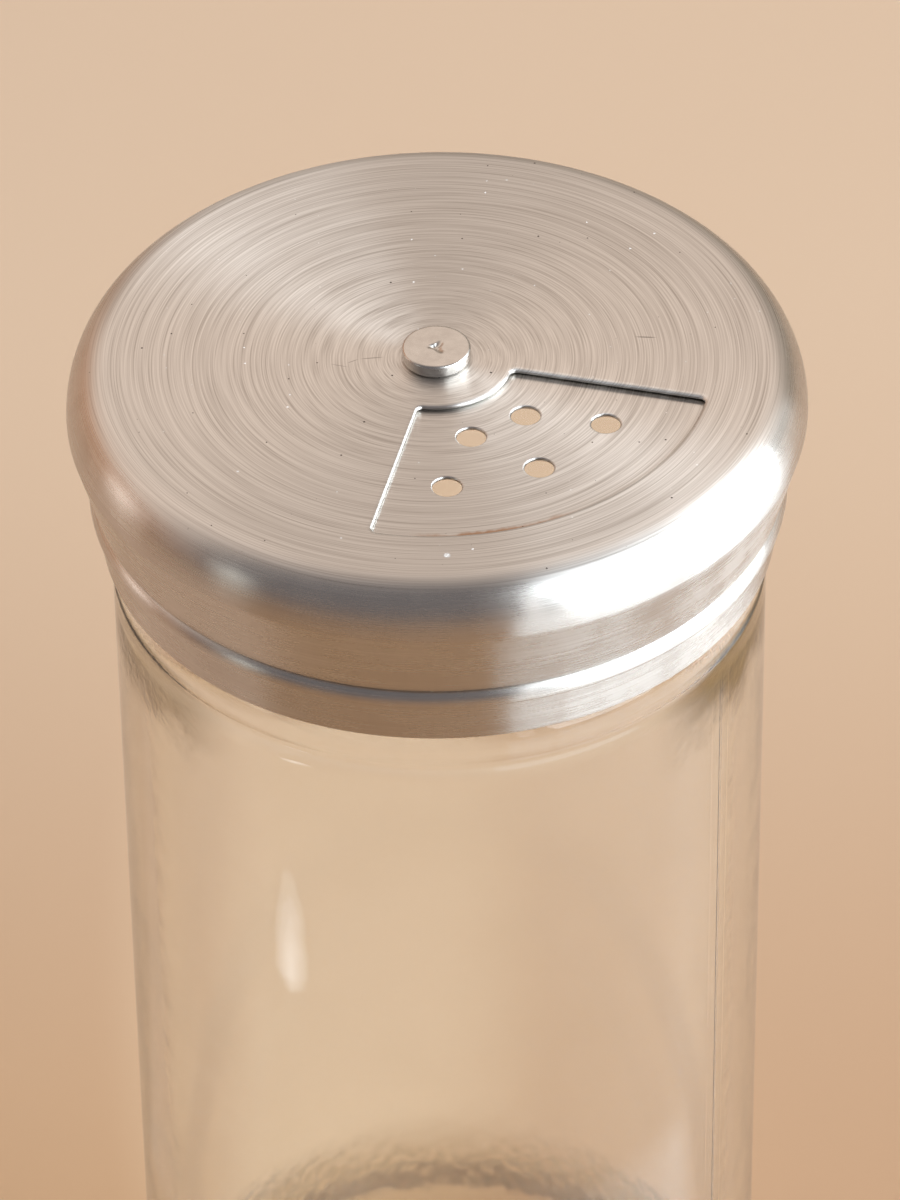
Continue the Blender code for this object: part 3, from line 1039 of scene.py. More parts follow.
@dataclass(frozen=True)
class BrushedSteel(Finish):
    """Stainless sheet brushed in circles, with a flat face and a side that is less brushed."""

    flat_height: float
    marks: tuple[Mark, ...] = ()
    stains: tuple[Stain, ...] = ()
    light: Colour = (0.76, 0.735, 0.70)
    dark: Colour = (0.46, 0.43, 0.40)
    dust: Colour = (0.86, 0.84, 0.81)
    pit: Colour = (0.07, 0.055, 0.05)
    dried: Colour = (0.42, 0.22, 0.11)
    middle_tone: float = 0.62
    roughness: float = 0.31
    side_roughness: float = 0.27
    fine_roughness: float = 0.10
    cloud_roughness: float = 0.06
    blotch_roughness: float = 0.10
    dust_roughness: float = 0.4
    dust_cover: float = 0.9
    anisotropy: float = 0.95
    brushing_turn: float = 0.25
    side_depths: Span = (0.02 * MM, 0.9 * MM)
    side_tone_calm: float = 0.7
    side_groove_calm: float = 0.6
    fine_pitch: float = 0.125 * MM
    fine_breaks: float = 1.8
    fine_weight: float = 2.3
    coarse_pitch: float = 0.24 * MM
    coarse_breaks: float = 1.1
    coarse_weight: float = 0.1
    coarse_height: float = 0.15
    hair_range: Span = (0.10, 0.24)
    hair_weight: float = 0.2
    cloud_scale: float = 70.0
    cloud_weight: float = 0.2
    blotch_scale: float = 240.0
    blotch_weight: float = 0.5
    groove_depth: float = 0.004 * MM
    speck_spacing: float = 2.2 * MM
    speck_share: float = 0.3
    speck_least: float = 0.012
    speck_growth: float = 0.035
    pit_share: float = 0.4

    def specks(self, graph: Surface) -> tuple[Wire, Wire]:
        """Strew specks over the flat face.

        Args:
            graph: The material's graph.

        Returns:
            The masks of pale dust and of dark pits.
        """
        flat = graph.vector(graph.x, graph.y, 0.0)
        values = {"Vector": flat, "Scale": 1.0 / self.speck_spacing}
        cells = graph.node("ShaderNodeTexVoronoi", {"voronoi_dimensions": "2D"}, values)
        lot, size, kind = graph.split(cells.out("Color"))
        inside = cells < size * size * self.speck_growth + self.speck_least
        speck = inside * (lot < self.speck_share)
        return speck * (kind > self.pit_share), speck * (kind < self.pit_share)

    def blemishes(self, graph: Surface) -> tuple[Wire, Wire]:
        """Add the marks to the specks.

        Args:
            graph: The material's graph.

        Returns:
            The masks of what is brighter and of what is darker than the steel.
        """
        bright, dull = self.specks(graph)
        for mark in self.marks:
            mask = mark.mask(graph)
            if mark.bright:
                bright = graph.maths("MAXIMUM", bright, mask)
            else:
                dull = graph.maths("MAXIMUM", dull, mask)
        return bright, dull

    def shader(self, graph: Surface) -> Wire:
        """Shade the steel.

        Args:
            graph: The material's graph.

        Returns:
            The shader.
        """
        fine = graph.lines(self.fine_pitch, self.fine_breaks, 3.0) - 0.5
        coarse = graph.lines(self.coarse_pitch, self.coarse_breaks, 2.0) - 0.5
        cloud = graph.noise(graph.place, self.cloud_scale, 2.0) - 0.5
        blotch = graph.noise(graph.place, self.blotch_scale, 3.0) - 0.5
        side_high, side_low = (self.flat_height - depth for depth in self.side_depths)
        side = graph.smooth(graph.z, side_high, side_low)
        thin, thick = self.hair_range
        hairs = graph.smooth(fine, thin, thick) - graph.smooth(fine, -thin, -thick)
        lines = fine * self.fine_weight + coarse * self.coarse_weight + hairs * self.hair_weight
        tone = lines * (1.0 - side * self.side_tone_calm) + cloud * self.cloud_weight
        tone = tone + blotch * side * self.blotch_weight + self.middle_tone
        bright, dull = self.blemishes(graph)
        bright, dull = bright * (1.0 - side), dull * (1.0 - side)
        colour = graph.mix(tone, self.dark, self.light)
        for stain in self.stains:
            colour = graph.mix(stain.mask(graph), colour, self.dried)
        colour = graph.mix(dull, graph.mix(bright, colour, self.dust), self.pit)
        rough = self.roughness + fine * self.fine_roughness + cloud * self.cloud_roughness
        rough = rough + blotch * side * self.blotch_roughness
        rough = rough + side * (self.side_roughness - self.roughness)
        grooves = fine + coarse * self.coarse_height
        grooves = grooves * (1.0 - side * self.side_groove_calm)
        return graph.principled({
            "Base Color": colour,
            "Metallic": 1.0 - bright * self.dust_cover,
            "Roughness": rough + bright * self.dust_roughness,
            "Anisotropic": self.anisotropy,
            "Anisotropic Rotation": self.brushing_turn,
            "Normal": graph.bump(grooves, self.groove_depth),
        })


@dataclass(frozen=True)
class WorkedSteel(Finish):
    """Plain steel with a hammered, slightly dirty skin."""

    light: Colour = (0.68, 0.64, 0.60)
    dark: Colour = (0.42, 0.38, 0.35)
    middle_tone: float = 0.6
    roughness: float = 0.30
    cloud_roughness: float = 0.25
    contrast: float = 1.0
    cloud_weight: float = 2.2
    skin_weight: float = 1.2
    skin_scale: float = 1400.0
    skin_depth: float = 0.02 * MM

    def shader(self, graph: Surface) -> Wire:
        """Shade the steel.

        Args:
            graph: The material's graph.

        Returns:
            The shader.
        """
        cloud = graph.noise(graph.place, self.skin_scale / 3, 3.0) - 0.5
        skin = graph.noise(graph.place, self.skin_scale, 4.0)
        tone = cloud * self.cloud_weight + (skin - 0.5) * self.skin_weight
        tone = tone * self.contrast + self.middle_tone
        return graph.principled({
            "Base Color": graph.mix(tone, self.dark, self.light),
            "Metallic": 1.0,
            "Roughness": self.roughness + cloud * self.cloud_roughness,
            "Normal": graph.bump(skin, self.skin_depth),
        })


@dataclass(frozen=True)
class PaintedShadePool:
    """Painted shade in the glass under the shoulder, round one bearing, partly the thick glass's
    own tint.
    """

    bearing: float
    half_width: float
    strength: float
    core_share: float = 0.45
    rise_share: float = 0.5
    top_edge: Span = (0.6 * MM, -0.4 * MM)

    def mask(self, graph: Surface, height: Wire, low: float, high: float) -> Wire:
        """Mask the painted shade.

        Args:
            graph: The material's graph.
            height: Height with a ragged noise added.
            low: Height where the painted shade begins to show.
            high: Height of the shoulder over it.

        Returns:
            The pool's strength below the shoulder and 0 outside it.
        """
        limits = math.cos(self.half_width), math.cos(self.half_width * self.core_share)
        wide = graph.smooth(graph.toward(self.bearing), *limits)
        rise = graph.smooth(height, low, low + (high - low) * self.rise_share)
        end = graph.smooth(graph.z, high + self.top_edge[0], high + self.top_edge[1])
        return wide * rise * end * self.strength


@dataclass(frozen=True)
class PressedGlass(Finish):
    """Cheap soda glass: hazy and wavy, with a mould seam on both sides, painted shade under the
    shoulder and painted shadow at its bottom.
    """

    seam_bearing: float
    painted_shade_pools: tuple[PaintedShadePool, ...]
    painted_shade_low: float
    painted_shade_high: float
    clear: Colour = (0.986, 0.987, 0.961)
    smudged: Colour = (0.967, 0.965, 0.932)
    limb: Colour = (0.99, 0.945, 0.80)
    painted_shade: Colour = (0.15, 0.11, 0.035)
    # Painted shadow: the glass is tinted darker brown near the jar's bottom.
    painted_bottom_shadow: Colour = (0.70, 0.62, 0.50)
    ior: float = 1.51
    haze: float = 0.016
    roughness: float = 0.05
    smudge_roughness: float = 0.04
    smudge_scale: float = 55.0
    smudge_range: Span = (0.52, 0.68)
    limb_range: Span = (0.55, 0.9)
    painted_shade_range: Span = (0.35, 0.6)
    painted_bottom_shadow_range: Span = (16.0 * MM, 8.0 * MM)
    pebble_range: Span = (22.4 * MM, 8.0 * MM)
    wave_scale: float = 160.0
    wave_depth: float = 0.02 * MM
    wave_reach: float = 8.0 * MM
    wrinkle_scale: float = 1100.0
    wrinkle_reach: float = 3.0 * MM
    wrinkle_share: float = 1.2
    ripple_scale: float = 500.0
    ripple_share: float = 0.25
    pebble_scale: float = 800.0
    pebble_share: float = 9.0
    seam_width: float = 1.2 * MM
    seam_edge: float = 0.18 * MM
    seam_share: float = 0.45

    def seam(self, graph: Surface) -> Wire:
        """Shade the mould's seam.

        Args:
            graph: The material's graph.

        Returns:
            1 on the line through both sides of the jar and 0 off it.
        """
        cos, sin = math.cos(self.seam_bearing), math.sin(self.seam_bearing)
        aside = abs(graph.y * cos - graph.x * sin)
        half, soft = self.seam_width / 2, self.seam_edge / 2
        return graph.smooth(aside, half + soft, half - soft)

    def shader(self, graph: Surface) -> Wire:
        """Shade the glass, clear to lamp light.

        Args:
            graph: The material's graph.

        Returns:
            The shader.
        """
        smudge = graph.noise(graph.place, self.smudge_scale, 3.0, 0.6)
        smudge = graph.smooth(smudge, *self.smudge_range)
        wave = graph.noise(graph.place, self.wave_scale, 1.0)
        wrinkle = graph.noise(graph.place, self.wrinkle_scale, 2.0)
        ripple = graph.noise(graph.place, self.ripple_scale, 1.0)
        pebble = graph.noise(graph.place, self.pebble_scale, 1.0)
        pebble = pebble * graph.smooth(graph.z, *self.pebble_range)
        ragged = (wrinkle - 0.5) * self.wrinkle_reach + (wave - 0.5) * self.wave_reach
        height = graph.z + ragged
        painted_shade_mask = sum(one.mask(graph, height, self.painted_shade_low, self.painted_shade_high) for one in self.painted_shade_pools)
        facing = graph.node("ShaderNodeLayerWeight", None, {"Blend": 0.5}, "Facing")
        colour = graph.mix(smudge, self.clear, self.smudged)
        # Painted shadow: darker brown glass near the bottom, for the shade under the jar.
        painted_bottom_shadow_share = graph.smooth(graph.z, *self.painted_bottom_shadow_range)
        colour = graph.mix(painted_bottom_shadow_share, colour, self.painted_bottom_shadow)
        colour = graph.mix(graph.smooth(facing, *self.limb_range), colour, self.limb)
        # Painted shade: a dark tint under the shoulder, stronger where the glass is seen edge-on.
        edge_on = graph.smooth(facing, *self.painted_shade_range)
        colour = graph.mix(painted_shade_mask * edge_on, colour, self.painted_shade)
        seam = self.seam(graph)
        relief = wave + ripple * self.ripple_share + seam * self.seam_share
        relief = relief + wrinkle * painted_shade_mask * self.wrinkle_share + pebble * self.pebble_share
        glass = graph.principled({
            "Base Color": colour,
            "Roughness": smudge * self.smudge_roughness + self.roughness,
            "IOR": self.ior,
            "Transmission Weight": 1.0 - self.haze,
            "Normal": graph.bump(relief, self.wave_depth),
        })
        shadow = graph.node("ShaderNodeLightPath", output="Is Shadow Ray")
        through = graph.node("ShaderNodeBsdfTransparent", None, {"Color": rgba(self.clear)})
        return graph.either(shadow, glass, through)


@dataclass(frozen=True)
class Silicone(Finish):
    """Milky food-grade rubber with a fine moulded grain."""

    light: Colour = (0.88, 0.87, 0.83)
    dark: Colour = (0.74, 0.72, 0.67)
    middle_tone: float = 0.6
    roughness: float = 0.55
    grain_roughness: float = 0.2
    glow_share: float = 0.15
    glow_depth: float = 1.0 * MM
    cloud_scale: float = 120.0
    cloud_weight: float = 2.0
    grain_scale: float = 2600.0
    grain_depth: float = 0.03 * MM

    def shader(self, graph: Surface) -> Wire:
        """Shade the rubber.

        Args:
            graph: The material's graph.

        Returns:
            The shader.
        """
        cloud = graph.noise(graph.place, self.cloud_scale, 3.0) - 0.5
        grain = graph.noise(graph.place, self.grain_scale, 2.0)
        tone = cloud * self.cloud_weight + self.middle_tone
        return graph.principled({
            "Base Color": graph.mix(tone, self.dark, self.light),
            "Roughness": self.roughness + (grain - 0.5) * self.grain_roughness,
            "Subsurface Weight": self.glow_share,
            "Subsurface Scale": self.glow_depth,
            "Normal": graph.bump(grain, self.grain_depth),
        })


@dataclass(frozen=True)
class Jar:
    """The pressed glass jar."""

    radius: float
    rim: float
    wall: float = 2.6 * MM
    floor: float = 7.5 * MM
    crown: float = 1.0 * MM
    floor_corner: float = 11.0 * MM
    heel: float = 4.2 * MM
    foot_width: float = 3.6 * MM
    punt: float = 2.4 * MM
    punt_start: float = 12.0
    neck_step: float = 2.0 * MM
    neck_height: float = 15.6 * MM
    neck_wall: float = 2.4 * MM
    shoulder_drop: float = 2.6 * MM
    inner_shoulder_drop: float = 6.0 * MM
    ring_drop: float = 0.8 * MM
    ring_height: float = 0.05 * MM
    ring_width: float = 0.8 * MM
    rim_round: float = 0.9 * MM
    thread_rim_drop: float = 2.9 * MM
    wall_spacing: float = 2.0 * MM
    thread_spacing: float = 0.22 * MM
    floor_spacing: float = 0.7 * MM
    large_steps: int = 24
    middle_steps: int = 16
    small_steps: int = 8
    shoulder_steps: int = 20
    seam_bearing: float = math.radians(-31.0)
    # Painted shade in the glass under the shoulder, at two fixed bearings.
    painted_shade_depth: float = 9.5 * MM
    painted_shade_pools: tuple[PaintedShadePool, ...] = (
        PaintedShadePool(math.radians(-21.0), math.radians(32.0), 1.0),
        PaintedShadePool(math.radians(-158.0), math.radians(32.0), 0.8),
    )

    @property
    def inner(self) -> float:
        """Return the radius inside the wall."""
        return self.radius - self.wall

    @property
    def neck(self) -> float:
        """Return the outer radius of the neck."""
        return self.radius - self.neck_step

    @property
    def mouth(self) -> float:
        """Return the radius inside the neck."""
        return self.neck - self.neck_wall

    @property
    def neck_base(self) -> float:
        """Return the height of the neck's foot."""
        return self.rim - self.neck_height

    @property
    def body_top(self) -> float:
        """Return the height where the shoulder meets the wall."""
        return self.neck_base - self.shoulder_drop

    @property
    def thread_start(self) -> float:
        """Return the height of the thread's lower end."""
        return self.rim - self.thread_rim_drop - Thread.pitch * Thread.turns

    def inside(self) -> list[Point]:
        """Draw the section from the middle of the floor up to the rim.

        Returns:
            Its points.
        """
        corner = (self.inner - self.floor_corner, self.floor + self.floor_corner)
        shoulder = self.neck_base - self.inner_shoulder_drop
        crown_steps = round(corner[0] / self.floor_spacing)
        points = []
        for step in range(crown_steps):
            share = step / crown_steps
            rise = self.crown * math.cos(share * math.pi / 2) ** 2
            points.append((corner[0] * share, self.floor + rise))
        points += bend(corner, self.floor_corner, -90, 0, self.large_steps)
        points += straight((self.inner, corner[1]), (self.inner, shoulder), self.wall_spacing)
        radii = (self.inner - self.mouth, self.inner_shoulder_drop)
        points += arc((self.mouth, shoulder), radii, 0, 90, self.middle_steps)
        neck_top = (self.mouth, self.rim - self.rim_round)
        points += straight((self.mouth, self.neck_base), neck_top, self.wall_spacing)
        lip = (self.mouth + self.rim_round, self.rim - self.rim_round)
        return points + bend(lip, self.rim_round, 180, 90, self.small_steps)

    def outside(self) -> list[Point]:
        """Draw the section from the rim down to the middle of the foot.

        Returns:
            Its points.
        """
        lip = (self.neck - self.rim_round, self.rim - self.rim_round)
        points = bend(lip, self.rim_round, 90, 0, self.small_steps)
        points += straight((self.neck, lip[1]), (self.neck, self.neck_base), self.thread_spacing)
        radii = (self.neck_step, self.shoulder_drop)
        points += arc((self.neck, self.body_top), radii, 90, 0, self.shoulder_steps)
        half = self.ring_width / 2
        ring = (self.radius, self.body_top - self.ring_drop - half)
        points += arc(ring, (self.ring_height, half), 90, -90, self.small_steps)
        wall_top = (self.radius, ring[1] - half)
        points += straight(wall_top, (self.radius, self.heel), self.wall_spacing)
        foot = self.radius - self.heel
        points += bend((foot, self.heel), self.heel, 0, -90, self.middle_steps)
        points += [(foot - self.foot_width, 0.0)]
        radii = (foot - self.foot_width * 1.5, self.punt)
        return points + arc((0.0, 0.0), radii, self.punt_start, 90, self.large_steps)

    def build(self) -> bpy.types.Object:
        """Build the jar.

        Returns:
            The jar's piece.
        """
        painted_shade_low = self.body_top - self.painted_shade_depth
        places = (self.seam_bearing, self.painted_shade_pools, painted_shade_low, self.body_top)
        finish = PressedGlass("pressed_glass", *places)
        thread = Thread((self.neck,), self.thread_start, 1)
        ripple = Ripple(self.inner, self.floor, self.neck_base)
        points = tidy(self.inside() + self.outside())
        rules = Rules((thread, ripple))
        mesh = turn("pressed_glass_jar", points, finish.material(), SEGMENTS, rule=rules)
        mesh = weld("pressed_glass_jar", [mesh])
        return add_piece(mesh, Body.JAR, ["glass_jar"])


@dataclass(frozen=True)
class Liner:
    """The soft ring between the jar's rim and the deck."""

    low: float
    top: float
    inner: float
    outer: float
    edge: float = 0.35 * MM
    edge_steps: int = 6

    def build(self) -> None:
        """Build the ring with round edges."""
        inner, outer = self.inner + self.edge, self.outer - self.edge
        low, top = self.low + self.edge, self.top - self.edge
        corners = ((outer, top, 90), (outer, low, 0), (inner, low, 270), (inner, top, 180))
        points = []
        for x, y, start in corners:
            points += bend((x, y), self.edge, start, start - 90, self.edge_steps)
        finish = Silicone("milky_silicone")
        mesh = turn("silicone_ring", points, finish.material(), SEGMENTS, closed=True)
        mesh = weld("silicone_ring", [mesh])
        add_piece(mesh, Body.SEAL, ["sealing_liner"])


@dataclass(frozen=True)
class DeckPattern:
    """Where the openings lie. Shares are of the window's depth, from its inner edge."""

    inner: float = 6.875 * MM
    outer: float = 24.45 * MM
    middle: float = math.radians(-59.2)
    span: float = math.radians(89.6)
    corner: float = 0.6 * MM
    quarter: float = math.radians(90.0)
    near_share: float = 0.224
    far_share: float = 0.588
    fine_hole: float = 1.3 * MM
    fine_steps: Span = (math.radians(30.0), math.radians(28.3))
    coarse_hole: float = 2.2 * MM
    coarse_step: float = math.radians(48.0)
    slot_span: float = math.radians(60.0)
    slot_shares: Span = (0.2, 0.8)
    slot_corner: float = 1.5 * MM

    def reach(self, share: float) -> float:
        """Return the radius at a share of the window's depth."""
        return self.inner + (self.outer - self.inner) * share

    def window(self) -> Opening:
        """Return the dial's window, which shows one quarter of the deck."""
        return Opening(self.inner, self.outer, self.middle, self.span, self.corner)

    def slot(self) -> Opening:
        """Place the pouring slot, two quarters on from the fine holes.

        Returns:
            The slot.
        """
        inner, outer = (self.reach(share) for share in self.slot_shares)
        middle = self.middle + 2 * self.quarter
        return Opening(inner, outer, middle, self.slot_span, self.slot_corner)

    def rings(self) -> tuple[Ring, ...]:
        """Place the fine holes and, one quarter on, the coarse ones.

        Returns:
            The rings of holes.
        """
        near, far = self.reach(self.near_share), self.reach(self.far_share)
        coarse_middle = self.middle + self.quarter
        return (
            Ring(2, near, self.middle, self.fine_steps[0], self.fine_hole),
            Ring(3, far, self.middle, self.fine_steps[1], self.fine_hole),
            Ring(1, near, coarse_middle, 0.0, self.coarse_hole),
            Ring(2, far, coarse_middle, self.coarse_step, self.coarse_hole),
        )


@dataclass(frozen=True)
class ScrewCap:
    """The inner cap: a perforated deck over a wall with a rolled thread, a bead and a band."""

    deck: float
    bottom: float
    bead_radius: float
    thread_start: float
    wall: float = 30.2 * MM
    corner: float = 1.4 * MM
    bead_height: float = 1.85 * MM
    undercut_share: float = 0.2
    band_height: float = 4.1 * MM
    band_proud: float = 0.35 * MM
    band_taper: float = 0.12 * MM
    hem: float = 0.19 * MM
    lip: float = 0.16 * MM
    wall_spacing: float = 0.22 * MM
    bend_steps: int = 16
    undercut_steps: int = 8
    pattern: DeckPattern = DeckPattern()
    stain: Stain = Stain(24.0 * MM, 1.1 * MM, math.radians(-78.0), math.radians(40.0))

    def outside(self) -> list[Point]:
        """Draw the outer profile from the deck's edge down to the band's edge.

        Returns:
            Its points.
        """
        under = self.bead_height * self.undercut_share
        bead_low = self.bottom + self.band_height + under
        bead_top = self.bottom + self.band_height + self.bead_height
        proud = self.bead_radius - self.wall
        band = self.wall + self.band_proud
        edge = (self.wall - self.corner, self.deck - self.corner)
        points = bend(edge, self.corner, 90, 0, self.bend_steps)
        points += straight((self.wall, edge[1]), (self.wall, bead_top), self.wall_spacing)
        radii = (proud, bead_top - bead_low)
        points += arc((self.wall, bead_low), radii, 90, 0, self.bend_steps)
        radii = (proud - self.band_proud, under)
        points += arc((band, bead_low), radii, 0, -80, self.undercut_steps)
        band_top = (band, bead_low - under - self.hem)
        band_low = (band - self.band_taper, self.bottom)
        return tidy(points + straight(band_top, band_low, self.wall_spacing))

    def build(self) -> None:
        """Build the cap as one sheet with its thread rolled in."""
        finish = BrushedSteel("deck_brushed_steel", self.deck, stains=(self.stain,))
        steel = finish.material()
        thread = Thread((self.wall, self.wall - CAP_SHEET), self.thread_start, -1)
        section = sheet_section(self.outside(), CAP_SHEET, self.hem)
        wall = turn("cap_wall", section, steel, SEGMENTS, rule=thread)
        radius, slot, rings = self.wall - self.corner, self.pattern.slot(), self.pattern.rings()
        plate = Plate(radius, RIVET_BORE, CAP_SHEET, self.lip, (slot,), rings)
        mesh = weld("perforated_screw_cap", [plate.build("deck_plate", steel, self.deck), wall])
        add_piece(mesh, Body.SCREW_CAP, ["inner_screw_cap"])


@dataclass(frozen=True)
class DialCap:
    """The outer cap that turns on the rivet, with one window in its brushed top."""

    top: float
    bottom: float
    radius: float
    mouth: float = 31.1 * MM
    shoulder_width: float = 3.6 * MM
    shoulder_drop: float = 5.0 * MM
    shoulder_steps: int = 48
    sheet: float = 0.55 * MM
    hem: float = 0.15 * MM
    lip: float = 0.42 * MM
    wall_spacing: float = 0.8 * MM
    pattern: DeckPattern = DeckPattern()
    marks: tuple[Mark, ...] = (
        Mark(18.6 * MM, 2.5 * MM, math.radians(-4), 2.2 * MM, 0.12 * MM, False),
        Mark(-5.7 * MM, 0.1 * MM, math.radians(6), 2.4 * MM, 0.14 * MM, False, 0.55),
        Mark(-7.4 * MM, -0.3 * MM, math.radians(28), 1.3 * MM, 0.12 * MM, False, 0.45),
        Mark(-8.6 * MM, -0.9 * MM, math.radians(-16), 1.9 * MM, 0.11 * MM, False, 0.4),
        Mark(0.65 * MM, -27.2 * MM, 0.0, 0.7 * MM, 0.7 * MM, True, 0.9),
        Mark(1.9 * MM, 3.4 * MM, math.radians(60), 1.1 * MM, 0.16 * MM, True),
    )

    def outside(self) -> list[Point]:
        """Draw the outer profile from the flat top's edge down to the mouth.

        Returns:
            Its points.
        """
        shoulder = (self.radius - self.shoulder_width, self.top - self.shoulder_drop)
        radii = (self.shoulder_width, self.shoulder_drop)
        points = arc(shoulder, radii, 90, 0, self.shoulder_steps)
        wall_top, wall_low = (self.radius, shoulder[1]), (self.mouth, self.bottom)
        return tidy(points + straight(wall_top, wall_low, self.wall_spacing))

    def build(self) -> None:
        """Build the dial as one sheet."""
        steel = BrushedSteel("dial_brushed_steel", self.top, self.marks).material()
        section = sheet_section(self.outside(), self.sheet, self.hem)
        wall = turn("dial_wall", section, steel, SEGMENTS)
        radius, window = self.radius - self.shoulder_width, self.pattern.window()
        plate = Plate(radius, RIVET_BORE, self.sheet, self.lip, (window,), ())
        mesh = weld("turning_dial", [plate.build("dial_plate", steel, self.top), wall])
        add_piece(mesh, Body.DIAL, ["outer_dial_cap"])


@dataclass(frozen=True)
class Washer:
    """A washer under the deck, conical where it is higher than it is thick."""

    name: str
    node: str
    high: float
    low: float
    radius: float
    thickness: float
    bore: float = RIVET_BORE
    edge: float = 0.08 * MM

    def build(self) -> None:
        """Build the washer with broken edges."""
        rim_top = self.low + self.thickness
        points = [
            (self.bore, self.high - self.edge),
            (self.bore + self.edge, self.high),
            (self.radius - self.edge, rim_top),
            (self.radius, rim_top - self.edge),
            (self.radius, self.low + self.edge),
            (self.radius - self.edge, self.low),
            (self.bore + self.edge, self.high - self.thickness),
            (self.bore, self.high - self.thickness + self.edge),
        ]
        steel = WorkedSteel(self.name + "_steel").material()
        mesh = weld(self.name, [turn(self.name, points, steel, SMALL_SEGMENTS, closed=True)])
        add_piece(mesh, Body.SCREW_CAP, [self.node])


@dataclass(frozen=True)
class Rivet:
    """The rivet through both caps, closed under the washers."""

    head_low: float
    head_top: float
    head_radius: float
    tail_low: float
    shank: float = 1.5 * MM
    head_round: float = 0.3 * MM
    head_spacing: float = 0.12 * MM
    head_steps: int = 8
    tail_radius: float = 2.5 * MM
    tail_height: float = 0.9 * MM
    tail_steps: int = 16
    edge: float = 0.08 * MM
    light: Colour = (0.70, 0.67, 0.63)
    dark: Colour = (0.48, 0.45, 0.42)
    roughness: float = 0.24
    contrast: float = 0.5

    def profile(self) -> list[Point]:
        """Draw the section from the head's middle to the tail's middle.

        Returns:
            Its points.
        """
        crown = self.head_radius - self.head_round
        upper, lower = self.head_top - self.head_round, self.head_low + self.head_round
        tail_top = self.tail_low + self.tail_height
        flat_edge = (crown - self.edge, self.head_top)
        points = straight((0.0, self.head_top), flat_edge, self.head_spacing)
        points += bend((crown, upper), self.head_round, 80, 10, self.head_steps)
        points += bend((crown, lower), self.head_round, -10, -90, self.head_steps)
        points += [(self.shank, self.head_low), (self.shank, tail_top)]
        points += [(self.tail_radius - self.edge, tail_top)]
        centre = (0.0, tail_top - self.tail_height / 3)
        radii = (self.tail_radius, self.tail_height * 2 / 3)
        return tidy(points + arc(centre, radii, 0, -90, self.tail_steps))

    def build(self) -> None:
        """Build the rivet with a peened head."""
        finish = WorkedSteel(
            "rivet_steel_worked",
            self.light,
            self.dark,
            roughness=self.roughness,
            contrast=self.contrast,
        )
        rule = Peening(self.head_top)
        mesh = turn("peened_rivet", self.profile(), finish.material(), SMALL_SEGMENTS, rule=rule)
        add_piece(weld("peened_rivet", [mesh]), Body.SCREW_CAP, ["pivot_rivet"])


@dataclass(frozen=True)
class SoftBox:
    """A flat studio lamp that faces the lid, at a bearing and a height in degrees.

    Several nested lamps that share the radiance give it a soft edge.
    """

    name: str
    bearing: float
    height_angle: float
    distance: float
    width: float
    height: float
    radiance: float
    colour: Colour
    shape: LampShape = LampShape.BOX
    layers: int = 1
    layer_gap_share: float = 0.004

    def hang(self, aim: Vector, layer: int) -> bpy.types.Object:
        """Hang one layer. Larger ones hang behind.

        Args:
            aim: The point that the lamp faces.
            layer: The layer's number, from the smallest.

        Returns:
            The lamp's object.
        """
        share = (layer + 1) / self.layers
        distance = self.distance * (1.0 + layer * self.layer_gap_share)
        lamp = bpy.data.lights.new(self.name, "AREA")
        lamp.shape = self.shape.value
        lamp.size = self.width * share
        lamp.size_y = self.height * share
        lamp.energy = self.radiance / self.layers * math.pi * lamp.size * lamp.size_y
        lamp.color = self.colour
        bearing, height = math.radians(self.bearing), math.radians(self.height_angle)
        flat = math.cos(height)
        away = Vector((math.cos(bearing) * flat, math.sin(bearing) * flat, math.sin(height)))
        stand = place(self.name, lamp)
        stand.location = aim + away * distance
        stand.rotation_euler = away.to_track_quat("Z", "Y").to_euler()
        stand.visible_camera = False
        stand.visible_transmission = False
        return stand

    def build(self, aim: Vector, only: Optional[bpy.types.Object] = None) -> None:
        """Hang the whole lamp.

        Args:
            aim: The point that it faces.
            only: The one object that it lights, or None for all.
        """
        for layer in range(self.layers):
            stand = self.hang(aim, layer)
            if only:
                lit = bpy.data.collections.new(self.name)
                lit.objects.link(only)
                stand.light_linking.receiver_collection = lit
        LOG.info("lamp %s at %.0f degrees, %.2f m", self.name, self.bearing, self.distance)


@dataclass(frozen=True)
class PaintedReflectionPatch:
    """A painted reflection: a sector of a ring on the floor, in degrees, that shows in mirrored
    light alone.
    """

    bearing: float
    half_width: float
    near: float
    far: float
    colour: Colour
    soft_angle: float = 8.0
    edge: float = 0.004

    def mask(self, graph: Surface) -> Wire:
        """Shade the patch.

        Args:
            graph: The floor's graph.

        Returns:
            1 on the patch and 0 off it.
        """
        wide = math.cos(math.radians(self.half_width + self.soft_angle))
        narrow = math.cos(math.radians(self.half_width))
        sector = graph.smooth(graph.toward(math.radians(self.bearing)), wide, narrow)
        start = graph.smooth(graph.radius, self.near - self.edge, self.near + self.edge)
        end = graph.smooth(graph.radius, self.far + self.edge, self.far - self.edge)
        return sector * start * end


